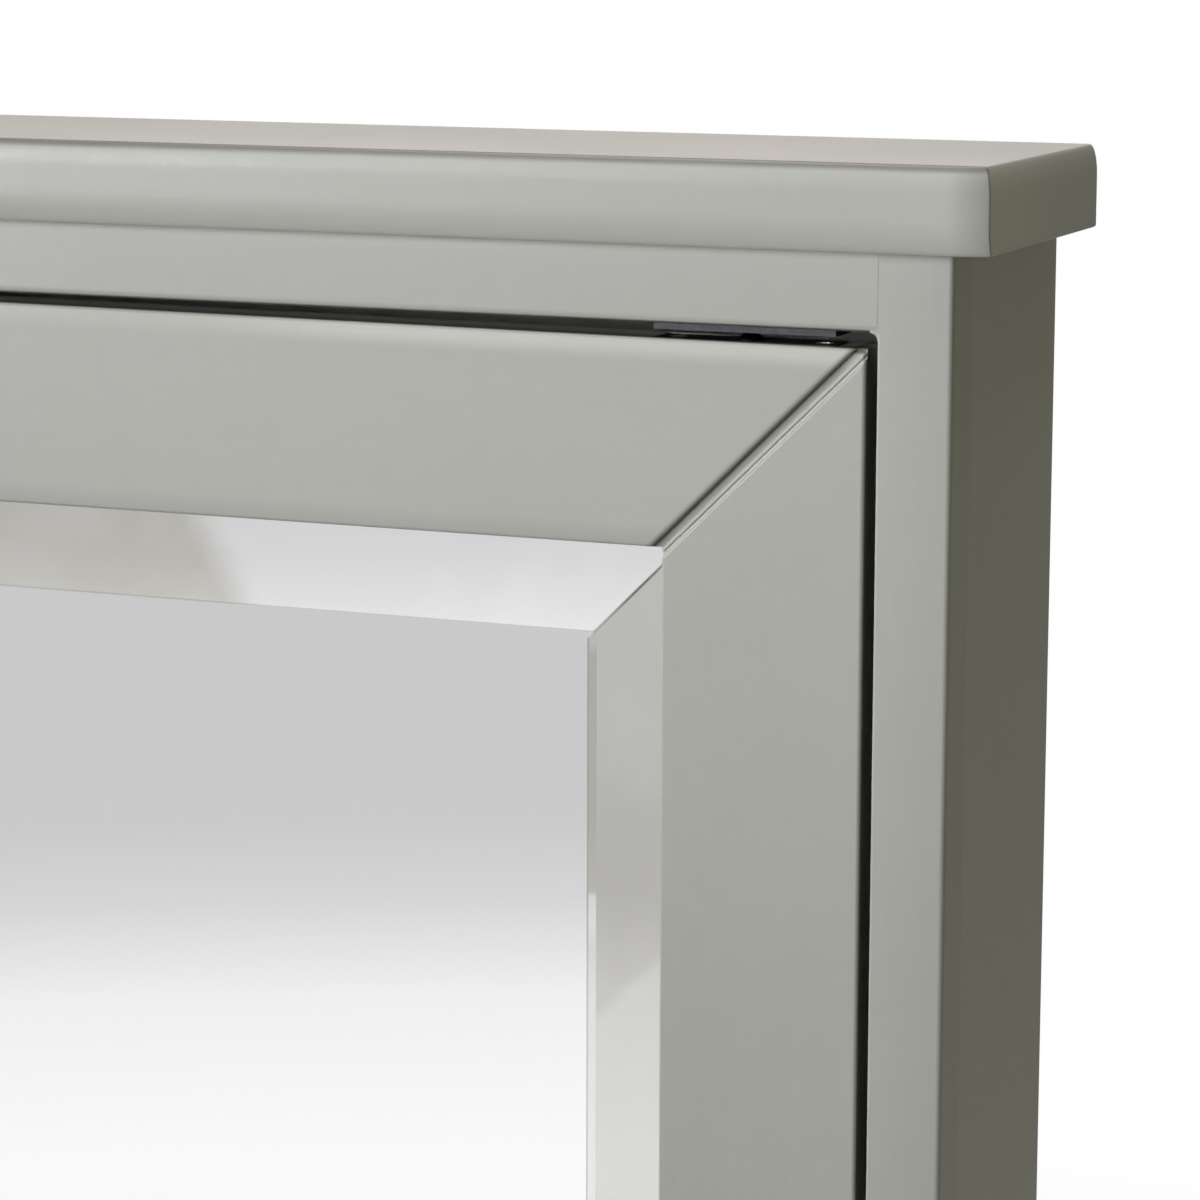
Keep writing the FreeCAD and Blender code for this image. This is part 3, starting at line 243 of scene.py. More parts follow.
class Nodes:
    """A node tree in the making."""

    def __init__(self, tree):
        self.tree = tree
        tree.nodes.clear()

    def add(self, kind, feeds=None, **settings):
        """Adds a node, and feeds its sockets by name or by number."""
        node = self.tree.nodes.new(kind)
        for key, setting in settings.items():
            setattr(node, key, setting)
        for key, value in (feeds or {}).items():
            self.feed(node.inputs[key], value)
        return node

    def value(self, kind, feeds=None, output=0, **settings):
        """Adds a node and gives one of its results."""
        return Value(self, self.add(kind, feeds, **settings).outputs[output])

    def feed(self, target, value):
        """Gives a socket a result of the tree, or a plain value, with alpha for a colour."""
        if isinstance(value, Value):
            self.tree.links.new(value.socket, target)
        elif target.type == "RGBA":
            target.default_value = (*value, 1.0)
        else:
            target.default_value = value

    def maths(self, operation, first, second=0.0):
        """One calculation with one or two numbers."""
        return self.value("ShaderNodeMath", {0: first, 1: second}, operation=operation)


class Shading(Nodes):
    """A shader tree, on the coordinates of a piece or of the room."""

    def __init__(self, tree, space):
        super().__init__(tree)
        self.place = self.value("ShaderNodeTexCoord", output=space)

    def axis(self, letter):
        """One coordinate of the place."""
        return self.value("ShaderNodeSeparateXYZ", {"Vector": self.place}, letter)

    def spread(self, value, low, high, to_low=0.0, to_high=1.0):
        """Takes a number smoothly from one range to another."""
        feeds = {"Value": value, "From Min": low, "From Max": high, "To Min": to_low, "To Max": to_high}
        return self.value("ShaderNodeMapRange", feeds, "Result", interpolation_type="SMOOTHSTEP")

    def fade(self, value, low, high):
        """Falls smoothly from one to nought over a range."""
        return self.spread(value, low, high, 1.0, 0.0)

    def near(self, letter, centre, reach):
        """One on a plane across an axis, falling to nought at a distance."""
        return self.fade(abs(self.axis(letter) - centre), 0.0, reach)

    def mix(self, share, first, second, blend="MIX"):
        """Mixes two colours."""
        feeds = {0: share, 6: first, 7: second}
        return self.value("ShaderNodeMix", feeds, 2, data_type="RGBA", blend_type=blend)

    def noise(self, scale, detail=2.0, stretch=(1.0, 1.0, 1.0), roughness=0.5, distortion=0.0):
        """Noise on the coordinates, scale in repeats per metre."""
        place = self.value("ShaderNodeMapping", {"Vector": self.place, "Scale": stretch})
        feeds = {"Vector": place, "Scale": scale, "Detail": detail, "Roughness": roughness}
        return self.value("ShaderNodeTexNoise", {**feeds, "Distortion": distortion}, "Fac")

    def ray(self, kind):
        """One for rays of a kind, nought for others."""
        return self.value("ShaderNodeLightPath", output="Is " + kind + " Ray")

    def mirrored(self):
        """One for what metal and glass show."""
        return self.maths("MAXIMUM", self.ray("Glossy"), self.ray("Transmission"))

    def mix_shaders(self, share, first, second):
        """Mixes two shaders."""
        return self.value("ShaderNodeMixShader", {0: share, 1: first, 2: second})


class Finish(Shading):
    """A material in the making: one shader, and the nodes that feed it."""

    def __init__(self, name):
        self.material = bpy.data.materials.new(name)
        self.material.use_nodes = True
        super().__init__(self.material.node_tree, "Object")
        self.shader = self.add("ShaderNodeBsdfPrincipled")
        self.surface = Value(self, self.shader.outputs["BSDF"])
        self.output = self.add("ShaderNodeOutputMaterial", {"Surface": self.surface})

    def set(self, label, value):
        """Feeds one of the shader's own sockets."""
        self.feed(self.shader.inputs[label], value)

    def paint(self, tone):
        """Takes a tone as the base colour."""
        self.tone = tone
        self.set("Base Color", tone)

    def tint(self, share, colour):
        """Multiplies the base colour by another, as far as the share says."""
        self.paint(self.mix(share, self.tone, colour, "MULTIPLY"))

    def facing(self, letter):
        """One coordinate of the surface's direction."""
        normal = self.value("ShaderNodeNewGeometry", output="Normal")
        turned = self.value("ShaderNodeVectorTransform", {"Vector": normal}, vector_type="NORMAL",
                            convert_from="WORLD", convert_to="OBJECT")
        return self.value("ShaderNodeSeparateXYZ", {"Vector": turned}, letter)

    def bump(self, height, distance, strength, below=None):
        """Raises the surface by a height, over another bump if one is given."""
        feeds = {"Height": height, "Distance": distance, "Strength": strength}
        if below is not None:
            feeds["Normal"] = below
        return self.value("ShaderNodeBump", feeds)


def shade(colour, factor):
    """A colour made lighter or darker."""
    return tuple(min(1.0, part * factor) for part in colour)


def grey(level):
    """A colour without a hue."""
    return (level, level, level)


def along(run, share):
    """The stretch of a pattern that repeats less often along one axis."""
    return tuple(share if letter == run else 1.0 for letter in "XYZ")


# Finishes
# Colour of the shade painted a little way behind the front, in grooves and narrow gaps
RECESS_SHADE = (0.30, 0.29, 0.265)
STROKE_SHARE = 0.022
GRAIN_SHARE = 0.05


def painted(name, paint, colour, run):
    """Satin paint brushed along one axis, with its strokes, orange peel and faint clouds."""
    made = Finish(name)
    strokes = made.noise(1.0 / paint.stroke_width, 3.0, along(run, STROKE_SHARE))
    peel = made.noise(480.0)
    clouds = made.noise(11.0, 3.0)
    blotch = made.noise(140.0, 3.0)
    made.paint(made.mix(clouds, shade(colour, 0.975), shade(colour, 1.025)))
    made.tint(made.spread(blotch, 0.3, 0.7), grey(0.985))
    made.tint(made.spread(strokes, 0.25, 0.75), grey(0.98))
    made.set("Roughness", made.spread(clouds + peel, 0.7, 1.3, paint.gloss - 0.05, paint.gloss + 0.06))
    made.set("Specular IOR Level", 0.42)
    made.set("Normal", made.bump(strokes, 0.00003, 0.6, made.bump(peel, 0.00005, 0.5)))
    return made


def paint_recess_shade(made, shown=1.0):
    """Paints shade a little way behind the front, as falls in a groove or a narrow gap."""
    first, last = (0.0004, 0.0011), (0.003, 0.014)
    depth = made.axis("Y") - FRONT_Y
    made.tint(made.spread(depth, *first) * made.fade(depth, *last) * shown, RECESS_SHADE)


def paint_edge_highlight(made, away, reach, level):
    """Paints a highlight near an edge of the front, strongest to the right of its middle."""
    front = made.fade(made.axis("Y"), FRONT_Y + 0.0015, FRONT_Y + 0.0040)
    rightward = made.spread(made.axis("X"), 0.0, 0.08, 0.4, 1.0)
    made.tint(made.fade(away, reach * 0.3, reach) * front * rightward, grey(level))


def metal(name, colour, rough, run="Z", scratch=0.00001, wear=0.1, patchy=1.0):
    """Plated steel with drawn lines along one axis and small dull patches."""
    made = Finish(name)
    lines = made.noise(3200.0, 3.0, along(run, STROKE_SHARE))
    patches = made.noise(260.0, 3.0)
    made.paint(made.mix(patches, shade(colour, 1.0 - wear), shade(colour, 1.0 + wear)))
    made.set("Metallic", 1.0)
    bright, dull = rough - 0.06 * patchy, rough + 0.10 * patchy
    made.set("Roughness", made.spread(lines + patches, 0.7, 1.3, bright, dull))
    made.set("Normal", made.bump(lines, scratch, 0.6))
    return made


def wood(name, colour):
    """Plain beech: long grain with short dark flecks."""
    made = Finish(name)
    grain = made.noise(220.0, 4.0, along("X", GRAIN_SHARE), 0.6, 0.4)
    fleck = made.noise(900.0, 2.0, along("X", GRAIN_SHARE))
    tone = made.mix(grain, shade(colour, 0.80), shade(colour, 1.12))
    made.paint(made.mix(made.spread(fleck, 0.62, 0.70), tone, shade(colour, 0.58)))
    made.set("Roughness", made.spread(grain, 0.2, 0.8, 0.48, 0.62))
    made.set("Normal", made.bump(grain, 0.00008, 0.5))
    return made


def fibreboard(name, colour):
    """Brown hardboard: matted fibres and a faint sheen."""
    made = Finish(name)
    fibres = made.noise(1400.0, 5.0, along("Z", 0.35), 0.65, 1.2)
    made.paint(made.mix(fibres, shade(colour, 0.72), shade(colour, 1.22)))
    made.tint(made.noise(24.0, 4.0), (0.86, 0.84, 0.80))
    made.set("Roughness", made.spread(fibres, 0.2, 0.8, 0.62, 0.82))
    made.set("Normal", made.bump(fibres, 0.00012, 0.6))
    return made


def rubber(name, colour):
    """Soft rubber with a fine skin."""
    made = Finish(name)
    skin = made.noise(1800.0, 3.0)
    made.paint(made.mix(skin, shade(colour, 0.8), shade(colour, 1.15)))
    made.set("Roughness", made.spread(skin, 0.2, 0.8, 0.55, 0.75))
    made.set("Normal", made.bump(skin, 0.00004, 0.5))
    return made


# Meshes and pieces
def dress(finish, *nodes):
    """Gives solids that stay as they are their finish."""
    for node in nodes:
        NODES[node].data.materials.clear()
        NODES[node].data.materials.append(finish.material)


def stand_for(piece, body, slot, *nodes):
    """Sends a new piece with its body and hides the solids that it stands for."""
    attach(piece, body)
    if nodes:
        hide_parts(*nodes)


def show(name, mesh):
    """Links a mesh into the scene as a piece."""
    piece = bpy.data.objects.new(name, mesh)
    bpy.context.scene.collection.objects.link(piece)
    return piece


def mesh_from(name, form, finish):
    """Turns a bmesh into a mesh with smooth faces and a finish."""
    bmesh.ops.recalc_face_normals(form, faces=form.faces[:])
    mesh = bpy.data.meshes.new(name)
    form.to_mesh(mesh)
    form.free()
    smooth(mesh)
    mesh.materials.append(finish.material)
    return mesh


def smooth(mesh):
    """Smooths a mesh, but keeps its sharp edges."""
    mesh.polygons.foreach_set("use_smooth", [True] * len(mesh.polygons))
    mesh.set_sharp_from_angle(angle=SHARP_ANGLE)


def loft(form, outlines):
    """Adds a closed solid through several outlines of as many points."""
    rings = [[form.verts.new(place) for place in outline] for outline in outlines]
    for lower, upper in zip(rings, rings[1:]):
        for index in range(len(lower)):
            after = (index + 1) % len(lower)
            form.faces.new((lower[index], lower[after], upper[after], upper[index]))
    form.faces.new(rings[0][::-1])
    form.faces.new(rings[-1])


def arc(across, up, radius, start, stop, steps):
    """Points on an arc round a middle, from one angle to another in degrees."""
    angles = [math.radians(start + (stop - start) * step / steps) for step in range(steps + 1)]
    return [(across + radius * math.cos(angle), up + radius * math.sin(angle)) for angle in angles]


def solids_of(node):
    """The box of each separate solid in a node, as lowest and highest corners."""
    data = NODES[node].data
    groups = {}

    def root(key):
        while groups[key] != key:
            groups[key] = groups[groups[key]]
            key = groups[key]
        return key

    spots = [tuple(round(part, 6) for part in vertex.co) for vertex in data.vertices]
    for spot in spots:
        groups.setdefault(spot, spot)
    for polygon in data.polygons:
        first = root(spots[polygon.vertices[0]])
        for other in polygon.vertices[1:]:
            groups[root(spots[other])] = first
    boxes = {}
    for spot in groups:
        low, high = boxes.setdefault(root(spot), (list(spot), list(spot)))
        for index in range(3):
            low[index] = min(low[index], spot[index])
            high[index] = max(high[index], spot[index])
    return [(Vector(low), Vector(high)) for low, high in sorted(boxes.values())]


# Node trees that grow what repeats
class Growth(Nodes):
    """A geometry node tree in the making, with named numbers and a material as its inputs."""

    def __init__(self, name, *labels):
        super().__init__(bpy.data.node_groups.new(name, "GeometryNodeTree"))
        kinds = {"Geometry": "Geometry", "Seed": "Int", "Material": "Material"}
        for label in ("Geometry", *labels, "Material"):
            kind = "NodeSocket" + kinds.get(label, "Float")
            self.tree.interface.new_socket(label, in_out="INPUT", socket_type=kind)
        self.tree.interface.new_socket("Geometry", in_out="OUTPUT", socket_type="NodeSocketGeometry")
        inputs = self.add("NodeGroupInput").outputs
        self.given = [Value(self, inputs[label]) for label in labels]
        self.start = Value(self, inputs["Geometry"])
        self.material = Value(self, inputs["Material"])

    def vector(self, x, y, z):
        """Three numbers as one vector."""
        return self.value("ShaderNodeCombineXYZ", {"X": x, "Y": y, "Z": z})

    def shape(self, kind, feeds, up=0.0, scale=(1.0, 1.0, 1.0)):
        """A plain shape, scaled and moved up."""
        plain = self.value("GeometryNodeMesh" + kind, feeds, "Mesh")
        feeds = {"Geometry": plain, "Translation": self.vector(0.0, 0.0, up), "Scale": scale}
        return self.value("GeometryNodeTransform", feeds)

    def tube(self, line, radius, sides, scale=1.0):
        """A round tube along a line, with closed ends."""
        ring = self.value("GeometryNodeCurvePrimitiveCircle", {"Resolution": sides, "Radius": radius})
        feeds = {"Curve": line, "Profile Curve": ring, "Scale": scale, "Fill Caps": True}
        return self.value("GeometryNodeCurveToMesh", feeds)

    def joined(self, *shapes):
        """Several shapes as one."""
        node = self.add("GeometryNodeJoinGeometry")
        for shape in reversed(shapes):
            self.feed(node.inputs[0], shape)
        return Value(self, node.outputs[0])

    def placed(self, shape, seed):
        """Puts a shape on each point, along the point's facing and turned by chance from the seed."""
        facing = self.value("GeometryNodeInputNamedAttribute", {"Name": "facing"}, data_type="FLOAT_VECTOR")
        lined_up = self.value("FunctionNodeAlignRotationToVector", {"Vector": facing}, axis="Z")
        feeds = {2: 0.0, 3: math.pi, "Seed": seed}
        angle = self.value("FunctionNodeRandomValue", feeds, 1, data_type="FLOAT")
        spin = self.value("FunctionNodeAxisAngleToRotation", {"Axis": (0.0, 0.0, 1.0), "Angle": angle})
        feeds = {"Rotation": lined_up, "Rotate By": spin}
        turned = self.value("FunctionNodeRotateRotation", feeds, rotation_space="LOCAL")
        feeds = {"Points": self.start, "Instance": shape, "Rotation": turned}
        return self.value("GeometryNodeInstanceOnPoints", feeds)

    def finish(self, geometry):
        """Makes instances real, sets the material and ends the tree."""
        real = self.value("GeometryNodeRealizeInstances", {"Geometry": geometry})
        last = self.value("GeometryNodeSetMaterial", {"Geometry": real, "Material": self.material})
        self.add("NodeGroupOutput", {0: last})
        return self.tree


def screw_tree(name, domed):
    """Screws on points, heads along each point's facing: countersunk, or domed with a flat seat."""
    grow = Growth(name, "Head radius", "Head height", "Shank radius", "Length", "Recess width",
                  "Recess depth", "Seed")
    radius, height, shank, length, recess_width, recess_depth, seed = grow.given
    if domed:
        block = 30.0 * MM
        ball = grow.shape("UVSphere", {"Segments": 40, "Rings": 24, "Radius": 1.0}, -height,
                          grow.vector(radius, radius, height))
        upper = grow.shape("Cube", {"Size": (block, block, block)}, block / 2 - height)
        dome = grow.add("GeometryNodeMeshBoolean", {"Mesh 2": ball}, operation="INTERSECT")
        grow.feed(dome.inputs["Mesh 2"], upper)
        head = Value(grow, dome.outputs["Mesh"])
    else:
        head = grow.shape("Cone", {
            "Vertices": 40, "Radius Top": radius, "Radius Bottom": shank, "Depth": height}, -height)
    wide = recess_width * radius
    thin = radius * 0.24
    for size in ((wide, thin), (thin, wide)):
        blade = grow.shape("Cube", {"Size": grow.vector(*size, recess_depth * 2.0)})
        feeds = {"Mesh 1": head, "Mesh 2": blade}
        head = grow.value("GeometryNodeMeshBoolean", feeds, operation="DIFFERENCE")
    straight = length * 0.8
    rod = grow.shape(
        "Cylinder", {"Vertices": 20, "Radius": shank, "Depth": straight}, -height - straight / 2)
    point = grow.shape("Cone", {
        "Vertices": 20, "Radius Top": shank, "Radius Bottom": 0.1 * MM, "Depth": length - straight},
        -height - length)
    return grow.finish(grow.placed(grow.joined(head, rod, point), seed))


def nail_tree(name):
    """Panel pins on points: a chamfered flat head on a plain shank."""
    grow = Growth(name, "Head radius", "Head height", "Shank radius", "Length", "Seed")
    radius, height, shank, length, seed = grow.given
    half = height / 2
    rim = grow.shape("Cylinder", {"Vertices": 28, "Radius": radius, "Depth": half}, height * -0.75)
    face = grow.shape("Cone", {
        "Vertices": 28, "Radius Top": radius * 0.72, "Radius Bottom": radius, "Depth": half}, -half)
    rod = grow.shape("Cylinder", {"Vertices": 14, "Radius": shank, "Depth": length}, -height - length / 2)
    return grow.finish(grow.placed(grow.joined(face, rim, rod), seed))


def bead_tree(name):
    """A round bead of paint along each line, a little thicker in places."""
    grow = Growth(name, "Radius", "Unevenness")
    radius, unevenness = grow.given
    line = grow.value("GeometryNodeMeshToCurve", {"Mesh": grow.start})
    line = grow.value("GeometryNodeResampleCurve", {"Curve": line, "Count": 60})
    noise = grow.value("ShaderNodeTexNoise", {"Scale": 160.0, "Detail": 2.0})
    feeds = {"Curve": line, "Radius": (noise - 0.5) * unevenness + 1.0}
    line = grow.value("GeometryNodeSetCurveRadius", feeds)
    return grow.finish(grow.tube(line, radius, sides=12, scale=grow.value("GeometryNodeInputRadius")))


def spring_tree(name):
    """A compression spring that stands on each point."""
    grow = Growth(name, "Radius", "Height", "Turns", "Wire", "Seed")
    radius, height, turns, wire, seed = grow.given
    coil = grow.value("GeometryNodeCurveSpiral", {
        "Resolution": 36, "Rotations": turns, "Start Radius": radius, "End Radius": radius,
        "Height": height})
    return grow.finish(grow.placed(grow.tube(coil, wire, sides=10), seed))


def grown(name, seeds, tree, values):
    """Runs a tree with the values that it asks for on points or lines, and keeps a plain mesh."""
    piece = show(name, seeds)
    modifier = piece.modifiers.new("grow", "NODES")
    modifier.node_group = tree
    for item in tree.interface.items_tree:
        if item.in_out == "INPUT" and item.name != "Geometry":
            modifier[item.identifier] = values[item.name]
    graph = bpy.context.evaluated_depsgraph_get()
    mesh = bpy.data.meshes.new_from_object(piece.evaluated_get(graph), depsgraph=graph)
    piece.modifiers.clear()
    piece.data = mesh
    mesh.name = name
    if not mesh.polygons:
        raise RuntimeError(name + " grew nothing")
    smooth(mesh)
    return piece


def points_mesh(name, places, facing):
    """A mesh of loose points that all face one way."""
    mesh = bpy.data.meshes.new(name)
    mesh.from_pydata([tuple(place) for place in places], [], [])
    directions = mesh.attributes.new("facing", "FLOAT_VECTOR", "POINT")
    for item in directions.data:
        item.vector = facing
    return mesh


def lines_mesh(name, lines):
    """A mesh of separate straight lines, each given by its two ends."""
    places = [end for line in lines for end in line]
    mesh = bpy.data.meshes.new(name)
    mesh.from_pydata(places, [(index, index + 1) for index in range(0, len(places), 2)], [])
    return mesh


# Operators, one for each piece or group of like pieces
class CABINET_OT_cornice(bpy.types.Operator):
    """Builds the cornice board with its softly eased front and ends"""

    bl_idname = "cabinet.cornice"
    bl_label = "Cornice"

    def execute(self, context):
        soft = context.scene.cabinet_cornice
        low, high = CORNICE_LOW, CORNICE_HIGH
        form = bmesh.new()
        loft(form, [[(x, y, z) for x, y in cornice_plan(low, high, soft, z)]
                    for z in cornice_levels(low.z, high.z, soft)])
        finish = cornice_paint(context.scene.cabinet_paint, low, high)
        piece = show("cornice_board", mesh_from("cornice_board", form, finish))
        stand_for(piece, "case", "sage_paint", "cornice")
        return {"FINISHED"}


def cornice_levels(bottom, top, soft):
    """Heights of the cornice's outlines, close together where its edges round off."""
    foot_steps, face_steps, brow_steps = 16, 6, 20
    foot, brow = bottom + soft.foot_height, top - soft.brow_height
    levels = [bottom + soft.foot_height * (step / foot_steps) ** 2 for step in range(foot_steps + 1)]
    levels += [foot + (brow - foot) * step / face_steps for step in range(1, face_steps)]
    return levels + [top - soft.brow_height * (step / brow_steps) ** 2 for step in range(brow_steps, -1, -1)]


def cornice_plan(low, high, soft, z):
    """The cornice's outline at one height: an eased front with pillowed ends, anticlockwise from above."""
    above, below = high.z - z, z - low.z
    end = soft.end_depth * rounding(above, soft.end_height) + soft.arris * rounding(below, soft.arris)
    face = low.y + soft.brow_depth * rounding(above, soft.brow_height)
    face += soft.foot_depth * rounding(below, soft.foot_height)
    middle, half = (high.x + low.x) / 2, (high.x - low.x) / 2
    tilt = math.asin(soft.pillow / soft.pillow_radius)
    start = half - soft.pillow
    corner = half - end - soft.arris
    pillow_steps = 8
    right = []
    for step in range(pillow_steps + 1):
        across = start + (corner + soft.arris * math.sin(tilt) - start) * step / pillow_steps
        right.append((across, face + sagitta(across - start, soft.pillow_radius)))
    centre = right[-1][1] + soft.arris * math.cos(tilt)
    right += arc(corner, centre, soft.arris, math.degrees(tilt) - 90.0, 0.0, steps=5)[1:]
    back = 2 * soft.arris
    right += arc(half - end - back, high.y - end - back, back, 0.0, 90.0, steps=6)
    return [(middle + x, y) for x, y in right] + [(middle - x, y) for x, y in reversed(right)]


def sagitta(distance, radius):
    """How far an arc falls back at a distance along its chord."""
    return radius - math.sqrt(radius ** 2 - distance ** 2)


def rounding(depth, reach):
    """How far a round edge draws back, from one at its rim to nought at its reach."""
    if depth >= reach:
        return 0.0
    return 1.0 - math.sqrt(1.0 - ((reach - depth) / reach) ** 2)


def cornice_paint(paint, low, high):
    """Brushed paint: lighter, pinker and speckled on top, with painted light on the ends and a dark line
    along the top's front edge.
    """
    stain_x, stain_y = low.x + 0.337, low.y + 0.055
    stain_tone = (0.44, 0.37, 0.29)
    line_tone = (0.125, 0.115, 0.10)
    end_light_tint = (1.18, 1.16, 1.12)
    made = painted("paint_cornice", paint, paint.colour, "X")
    # Lighter, pinker, speckled paint where the board faces up, with a small stain
    top_tone = made.mix(made.noise(1500.0, 4.0), shade(paint.top_colour, 0.95), shade(paint.top_colour, 1.06))
    stain = made.near("X", stain_x, 0.006) * made.near("Y", stain_y, 0.030) * made.noise(60.0)
    top_tone = made.mix(stain * 0.5, top_tone, stain_tone)
    made.paint(made.mix(made.spread(made.facing("Z"), 0.86, 0.97), made.tone, top_tone))
    # A dark line along the top's front edge and down the front corners, with an uneven edge
    ragged_edge = made.noise(300.0, 2.0, along("X", 0.1)) * 0.0005
    brow = made.spread(made.axis("Z") + ragged_edge, high.z - 0.0026, high.z - 0.0003)
    brow *= made.fade(made.axis("Y"), low.y + 0.0040, low.y + 0.0048)
    across = abs(made.facing("X"))
    corner = made.spread(across, 0.46, 0.60) * made.fade(across, 0.88, 0.97)
    corner *= made.fade(made.facing("Y"), -0.22, -0.08)
    line = made.maths("MAXIMUM", brow, corner * 0.5)
    made.paint(made.mix(line * 0.85, made.tone, line_tone))
    # Painted light on the ends, strongest at the front and falling to nought at the back
    made.tint(made.spread(across, 0.86, 0.97) * made.fade(made.axis("Y"), low.y, high.y), end_light_tint)
    return made


class CABINET_OT_face_frame(bpy.types.Operator):
    """Paints the face frame and the case's sides, with the paint in its hairline joints and corners"""

    bl_idname = "cabinet.face_frame"
    bl_label = "Face frame and sides"

    def execute(self, context):
        paint = context.scene.cabinet_paint
        dress(painted("paint_sides", paint, paint.colour, "Z"), "side_panel_left", "side_panel_right")
        across = painted("paint_across", paint, paint.colour, "X")
        # Painted highlight along the top rail's upper edge, under the cornice, and painted shade on the
        # rails' faces behind the front
        paint_edge_highlight(across, TOP_RAIL_HIGH.z - across.axis("Z"), reach=0.0050, level=1.12)
        paint_recess_shade(across)
        dress(across, "frame_top_rail", "frame_bottom_rail")
        upright = painted("paint_upright", paint, paint.colour, "Z")
        joint = TOP_RAIL_HIGH.x
        aside = abs(upright.axis("X"))
        # Painted shade on the stiles' faces inside the opening, and painted shade darkening each stile
        # towards its outer edge
        paint_recess_shade(upright, upright.fade(aside, joint + 0.0012, joint + 0.0016))
        upright.tint(upright.spread(aside, joint, STILE_HIGH.x, 0.0, 0.55), grey(0.86))
        dress(upright, "frame_stile_left", "frame_stile_right")
        values = {"Radius": 0.1 * MM, "Unevenness": 1.6, "Material": upright.material}
        lines = lines_mesh("frame_joint_lines", joint_lines())
        piece = grown("frame_joint_beads", lines, bead_tree("joint bead"), values)
        stand_for(piece, "case", "sage_paint")
        piece = show("frame_corner_paint", corner_paint(paint.corner_radius, across))
        stand_for(piece, "case", "sage_paint")
        return {"FINISHED"}


def joint_lines():
    """The line of each joint between a rail and a stile, short of the rail's rounded edge."""
    rounded = 2.8 * MM
    spans = ((TOP_RAIL_LOW.z + rounded, TOP_RAIL_HIGH.z), (BOTTOM_RAIL_LOW.z, BOTTOM_RAIL_HIGH.z - rounded))
    sides = (TOP_RAIL_LOW.x, TOP_RAIL_HIGH.x)
    return [[(side, FRONT_Y, z) for z in span] for side in sides for span in spans]


def corner_paint(radius, finish):
    """Paint that has run round in the four corners of the face frame's opening."""
    bite = 1.6 * MM
    depths = (FRONT_Y + 0.5 * MM, FRONT_Y + 12.0 * MM)
    hollow = arc(radius, radius, radius, 270.0, 180.0, steps=10)
    outline = [(-bite, -bite), (radius, -bite), *hollow, (-bite, radius)]
    form = bmesh.new()
    for side in (-1.0, 1.0):
        for up, level in ((1.0, TOP_RAIL_LOW.z), (-1.0, BOTTOM_RAIL_HIGH.z)):
            loft(form, [[(side * (TOP_RAIL_HIGH.x - inward), depth, level - up * under)
                         for inward, under in outline] for depth in depths])
    return mesh_from("frame_corner_paint", form, finish)


class CABINET_OT_inside(bpy.types.Operator):
    """Finishes the boards, dowels and bumpers inside the case"""

    bl_idname = "cabinet.inside"
    bl_label = "Inside of the case"

    def execute(self, context):
        paint = context.scene.cabinet_paint
        inner = paint.inner_colour
        dress(painted("paint_inner", paint, inner, "X"), "top_panel", "bottom_panel", "upper_hanging_rail",
              "lower_hanging_rail", "lower_shelf", "upper_shelf")
        dress(painted("paint_stop", paint, inner, "Z"), "door_stop")
        board = fibreboard("hardboard_back", (0.235, 0.135, 0.072))
        coat = board.mix(board.noise(14.0, 3.0), shade(inner, 0.95), shade(inner, 1.03))
        board.paint(board.mix(board.fade(board.facing("Y"), -0.9, -0.7), board.tone, coat))
        dress(board, "back_panel")
        dress(wood("beech_dowel", (0.58, 0.40, 0.24)), "case_dowels", "frame_dowels")
        dress(rubber("rubber_bumper", (0.42, 0.42, 0.40)), "door_bumpers")
        return {"FINISHED"}


class CABINET_OT_door(bpy.types.Operator):
    """Paints the door's mitred frame and lays the paint beads in its mitres"""

    bl_idname = "cabinet.door"
    bl_label = "Door frame"

    def execute(self, context):
        paint = context.scene.cabinet_paint
        dress(door_rail_paint(paint), "door_top_rail", "door_bottom_rail")
        upright = painted("paint_door_stile", paint, paint.colour, "Z")
        edge = KNOB_STILE_HIGH.x
        # Painted shade on the stiles' outer edges, in the gap round the door
        paint_recess_shade(upright, upright.spread(abs(upright.axis("X")), edge - 0.0016, edge - 0.0012))
        dress(upright, "door_hinge_stile", "door_knob_stile")
        dress(wood("beech_tongue", (0.56, 0.39, 0.24)), "door_mitre_tongues")
        values = {"Radius": paint.bead_radius, "Unevenness": 0.25, "Material": upright.material}
        lines = lines_mesh("mitre_lines", mitre_lines(paint.bead_offset))
        piece = grown("mitre_paint_beads", lines, bead_tree("paint bead"), values)
        stand_for(piece, "door", "sage_paint")
        return {"FINISHED"}


def door_rail_paint(paint):
    """Brushed paint, with a painted highlight along the top edge and painted shade in the gap, beside the
    mitres and by the mirror.
    """
    mitre_shade_tint = (0.42, 0.41, 0.37)
    made = painted("paint_door_rail", paint, paint.colour, "X")
    x, z = made.axis("X"), made.axis("Z")
    fall = (KNOB_STILE_HIGH.z - HINGE_STILE_HIGH.z) / (KNOB_STILE_HIGH.x - HINGE_STILE_LOW.x)
    edge = (x - HINGE_STILE_LOW.x) * fall + HINGE_STILE_HIGH.z
    # Painted highlight along the top rail's upper edge
    paint_edge_highlight(made, edge - z, reach=0.0085, level=1.34)
    # Shares of the way across a rail and a stile, from the mirror outwards
    rise = (z - DOOR_TOP_LOW.z) / (edge - DOOR_TOP_LOW.z)
    drop = (DOOR_BOTTOM_HIGH.z - z) / (DOOR_BOTTOM_HIGH.z - DOOR_BOTTOM_LOW.z)
    outward = made.maths("MAXIMUM", rise, drop)
    member = KNOB_STILE_HIGH.x - KNOB_STILE_LOW.x
    sideways = (abs(x) - KNOB_STILE_LOW.x) / member
    # Painted shade on the outer edges in the gap, beside the mitres and along the edge by the mirror
    paint_recess_shade(made, made.spread(outward, 0.965, 0.985))
    away = (outward - sideways) * (member * math.sqrt(0.5))
    made.tint(made.spread(away, -0.0003, 0.0022) * made.fade(away, 0.0027, 0.0046), mitre_shade_tint)
    made.tint(made.fade(outward, 0.0, 0.13), grey(0.84))
    return made


